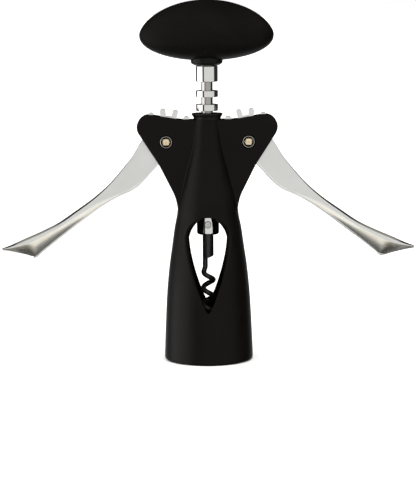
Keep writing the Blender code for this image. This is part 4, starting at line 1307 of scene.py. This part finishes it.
def build_floor():
    reach = FLOOR_RADIUS / MM
    edge = [(reach * x, reach * y, 0.0) for x, y in arc((0.0, 0.0), 1.0, 0, 360, 96)[:-1]]
    floor = link_mesh("floor", edge, [tuple(range(len(edge)))])
    floor.data.materials.append(pale_paper())
    floor.visible_glossy = False


def studio_light():
    """A world that is white to the camera. The object meets soft panels, set by bearing and height."""
    world = bpy.data.worlds.new("studio")
    world.use_nodes = True
    tree = world.node_tree
    background = tree.nodes["Background"]
    way = add_node(tree, "ShaderNodeTexCoord").outputs["Generated"]
    parts = add_node(tree, "ShaderNodeSeparateXYZ", {0: way}).outputs
    bearing = maths(tree, "ARCTAN2", parts["X"], product(tree, parts["Y"], -1.0))
    bearing = maths(tree, "DEGREES", bearing)
    rise = maths(tree, "DEGREES", maths(tree, "ARCSINE", parts["Z"]))

    def panel(left, right, low, high, soft, strength):
        """A soft-edged panel between two bearings and two heights, in degrees."""
        across = product(tree, remap(tree, bearing, left - soft, left + soft),
                       remap(tree, bearing, right + soft, right - soft))
        up = product(tree, remap(tree, rise, low - soft, low + soft),
                   remap(tree, rise, high + soft, high - soft))
        return product(tree, product(tree, across, up), strength)

    panels = [
        panel(-116, -48, -50, 24, 2.0, 2.2),
        panel(-30, 80, -50, 24, 4.0, 0.8),
        panel(-110, 110, 22, 58, 6.0, 0.9),
        panel(-138, 138, 44, 68, 6.0, 0.36),
        panel(145, 200, -50, -3, 3.0, 1.0),
        panel(-200, -145, -50, -3, 3.0, 1.0),
    ]
    light = DIM_SURROUND
    for one in panels:
        light = maths(tree, "ADD", one, light)
    seen = add_node(tree, "ShaderNodeLightPath").outputs["Is Camera Ray"]
    strength = add_node(tree, "ShaderNodeMix", {0: seen}, data_type="FLOAT")
    tree.links.new(light, strength.inputs[2])
    strength.inputs[3].default_value = 1.0
    tree.links.new(strength.outputs[0], background.inputs["Strength"])
    warm = mixed(tree, remap(tree, rise, 40.0, 58.0), (1.0, 1.0, 1.0), (1.0, 0.95, 0.80))
    tree.links.new(mixed(tree, seen, warm, (1.0, 1.0, 1.0)), background.inputs["Color"])
    bpy.context.scene.world = world


def overhead_lamp():
    lamp = bpy.data.lights.new("overhead", "SUN")
    lamp.energy = LAMP_STRENGTH
    lamp.angle = math.radians(LAMP_SPREAD_DEG)
    above = bpy.data.objects.new("overhead", lamp)
    above.visible_glossy = False
    bpy.context.scene.collection.objects.link(above)


def set_camera():
    camera_data = bpy.data.cameras.new("camera")
    camera_data.sensor_width = 36.0
    camera_data.lens = CAMERA_LENS
    camera_data.shift_x = CAMERA_SHIFT_X
    camera = bpy.data.objects.new("camera", camera_data)
    bpy.context.scene.collection.objects.link(camera)
    tilt = math.radians(CAMERA_TILT_DEG)
    back = Vector((0.0, -math.cos(tilt), math.sin(tilt)))
    camera.location = Vector((0.0, 0.0, CAMERA_TARGET_Z)) + back * CAMERA_DISTANCE
    camera.rotation_mode = "QUATERNION"
    roll = Matrix.Rotation(math.radians(CAMERA_ROLL_DEG), 3, "Z").to_quaternion()
    camera.rotation_quaternion = back.to_track_quat("Z", "Y") @ roll
    bpy.context.scene.camera = camera


build_floor()
studio_light()
overhead_lamp()
set_camera()
bpy.context.scene.view_settings.view_transform = "Standard"
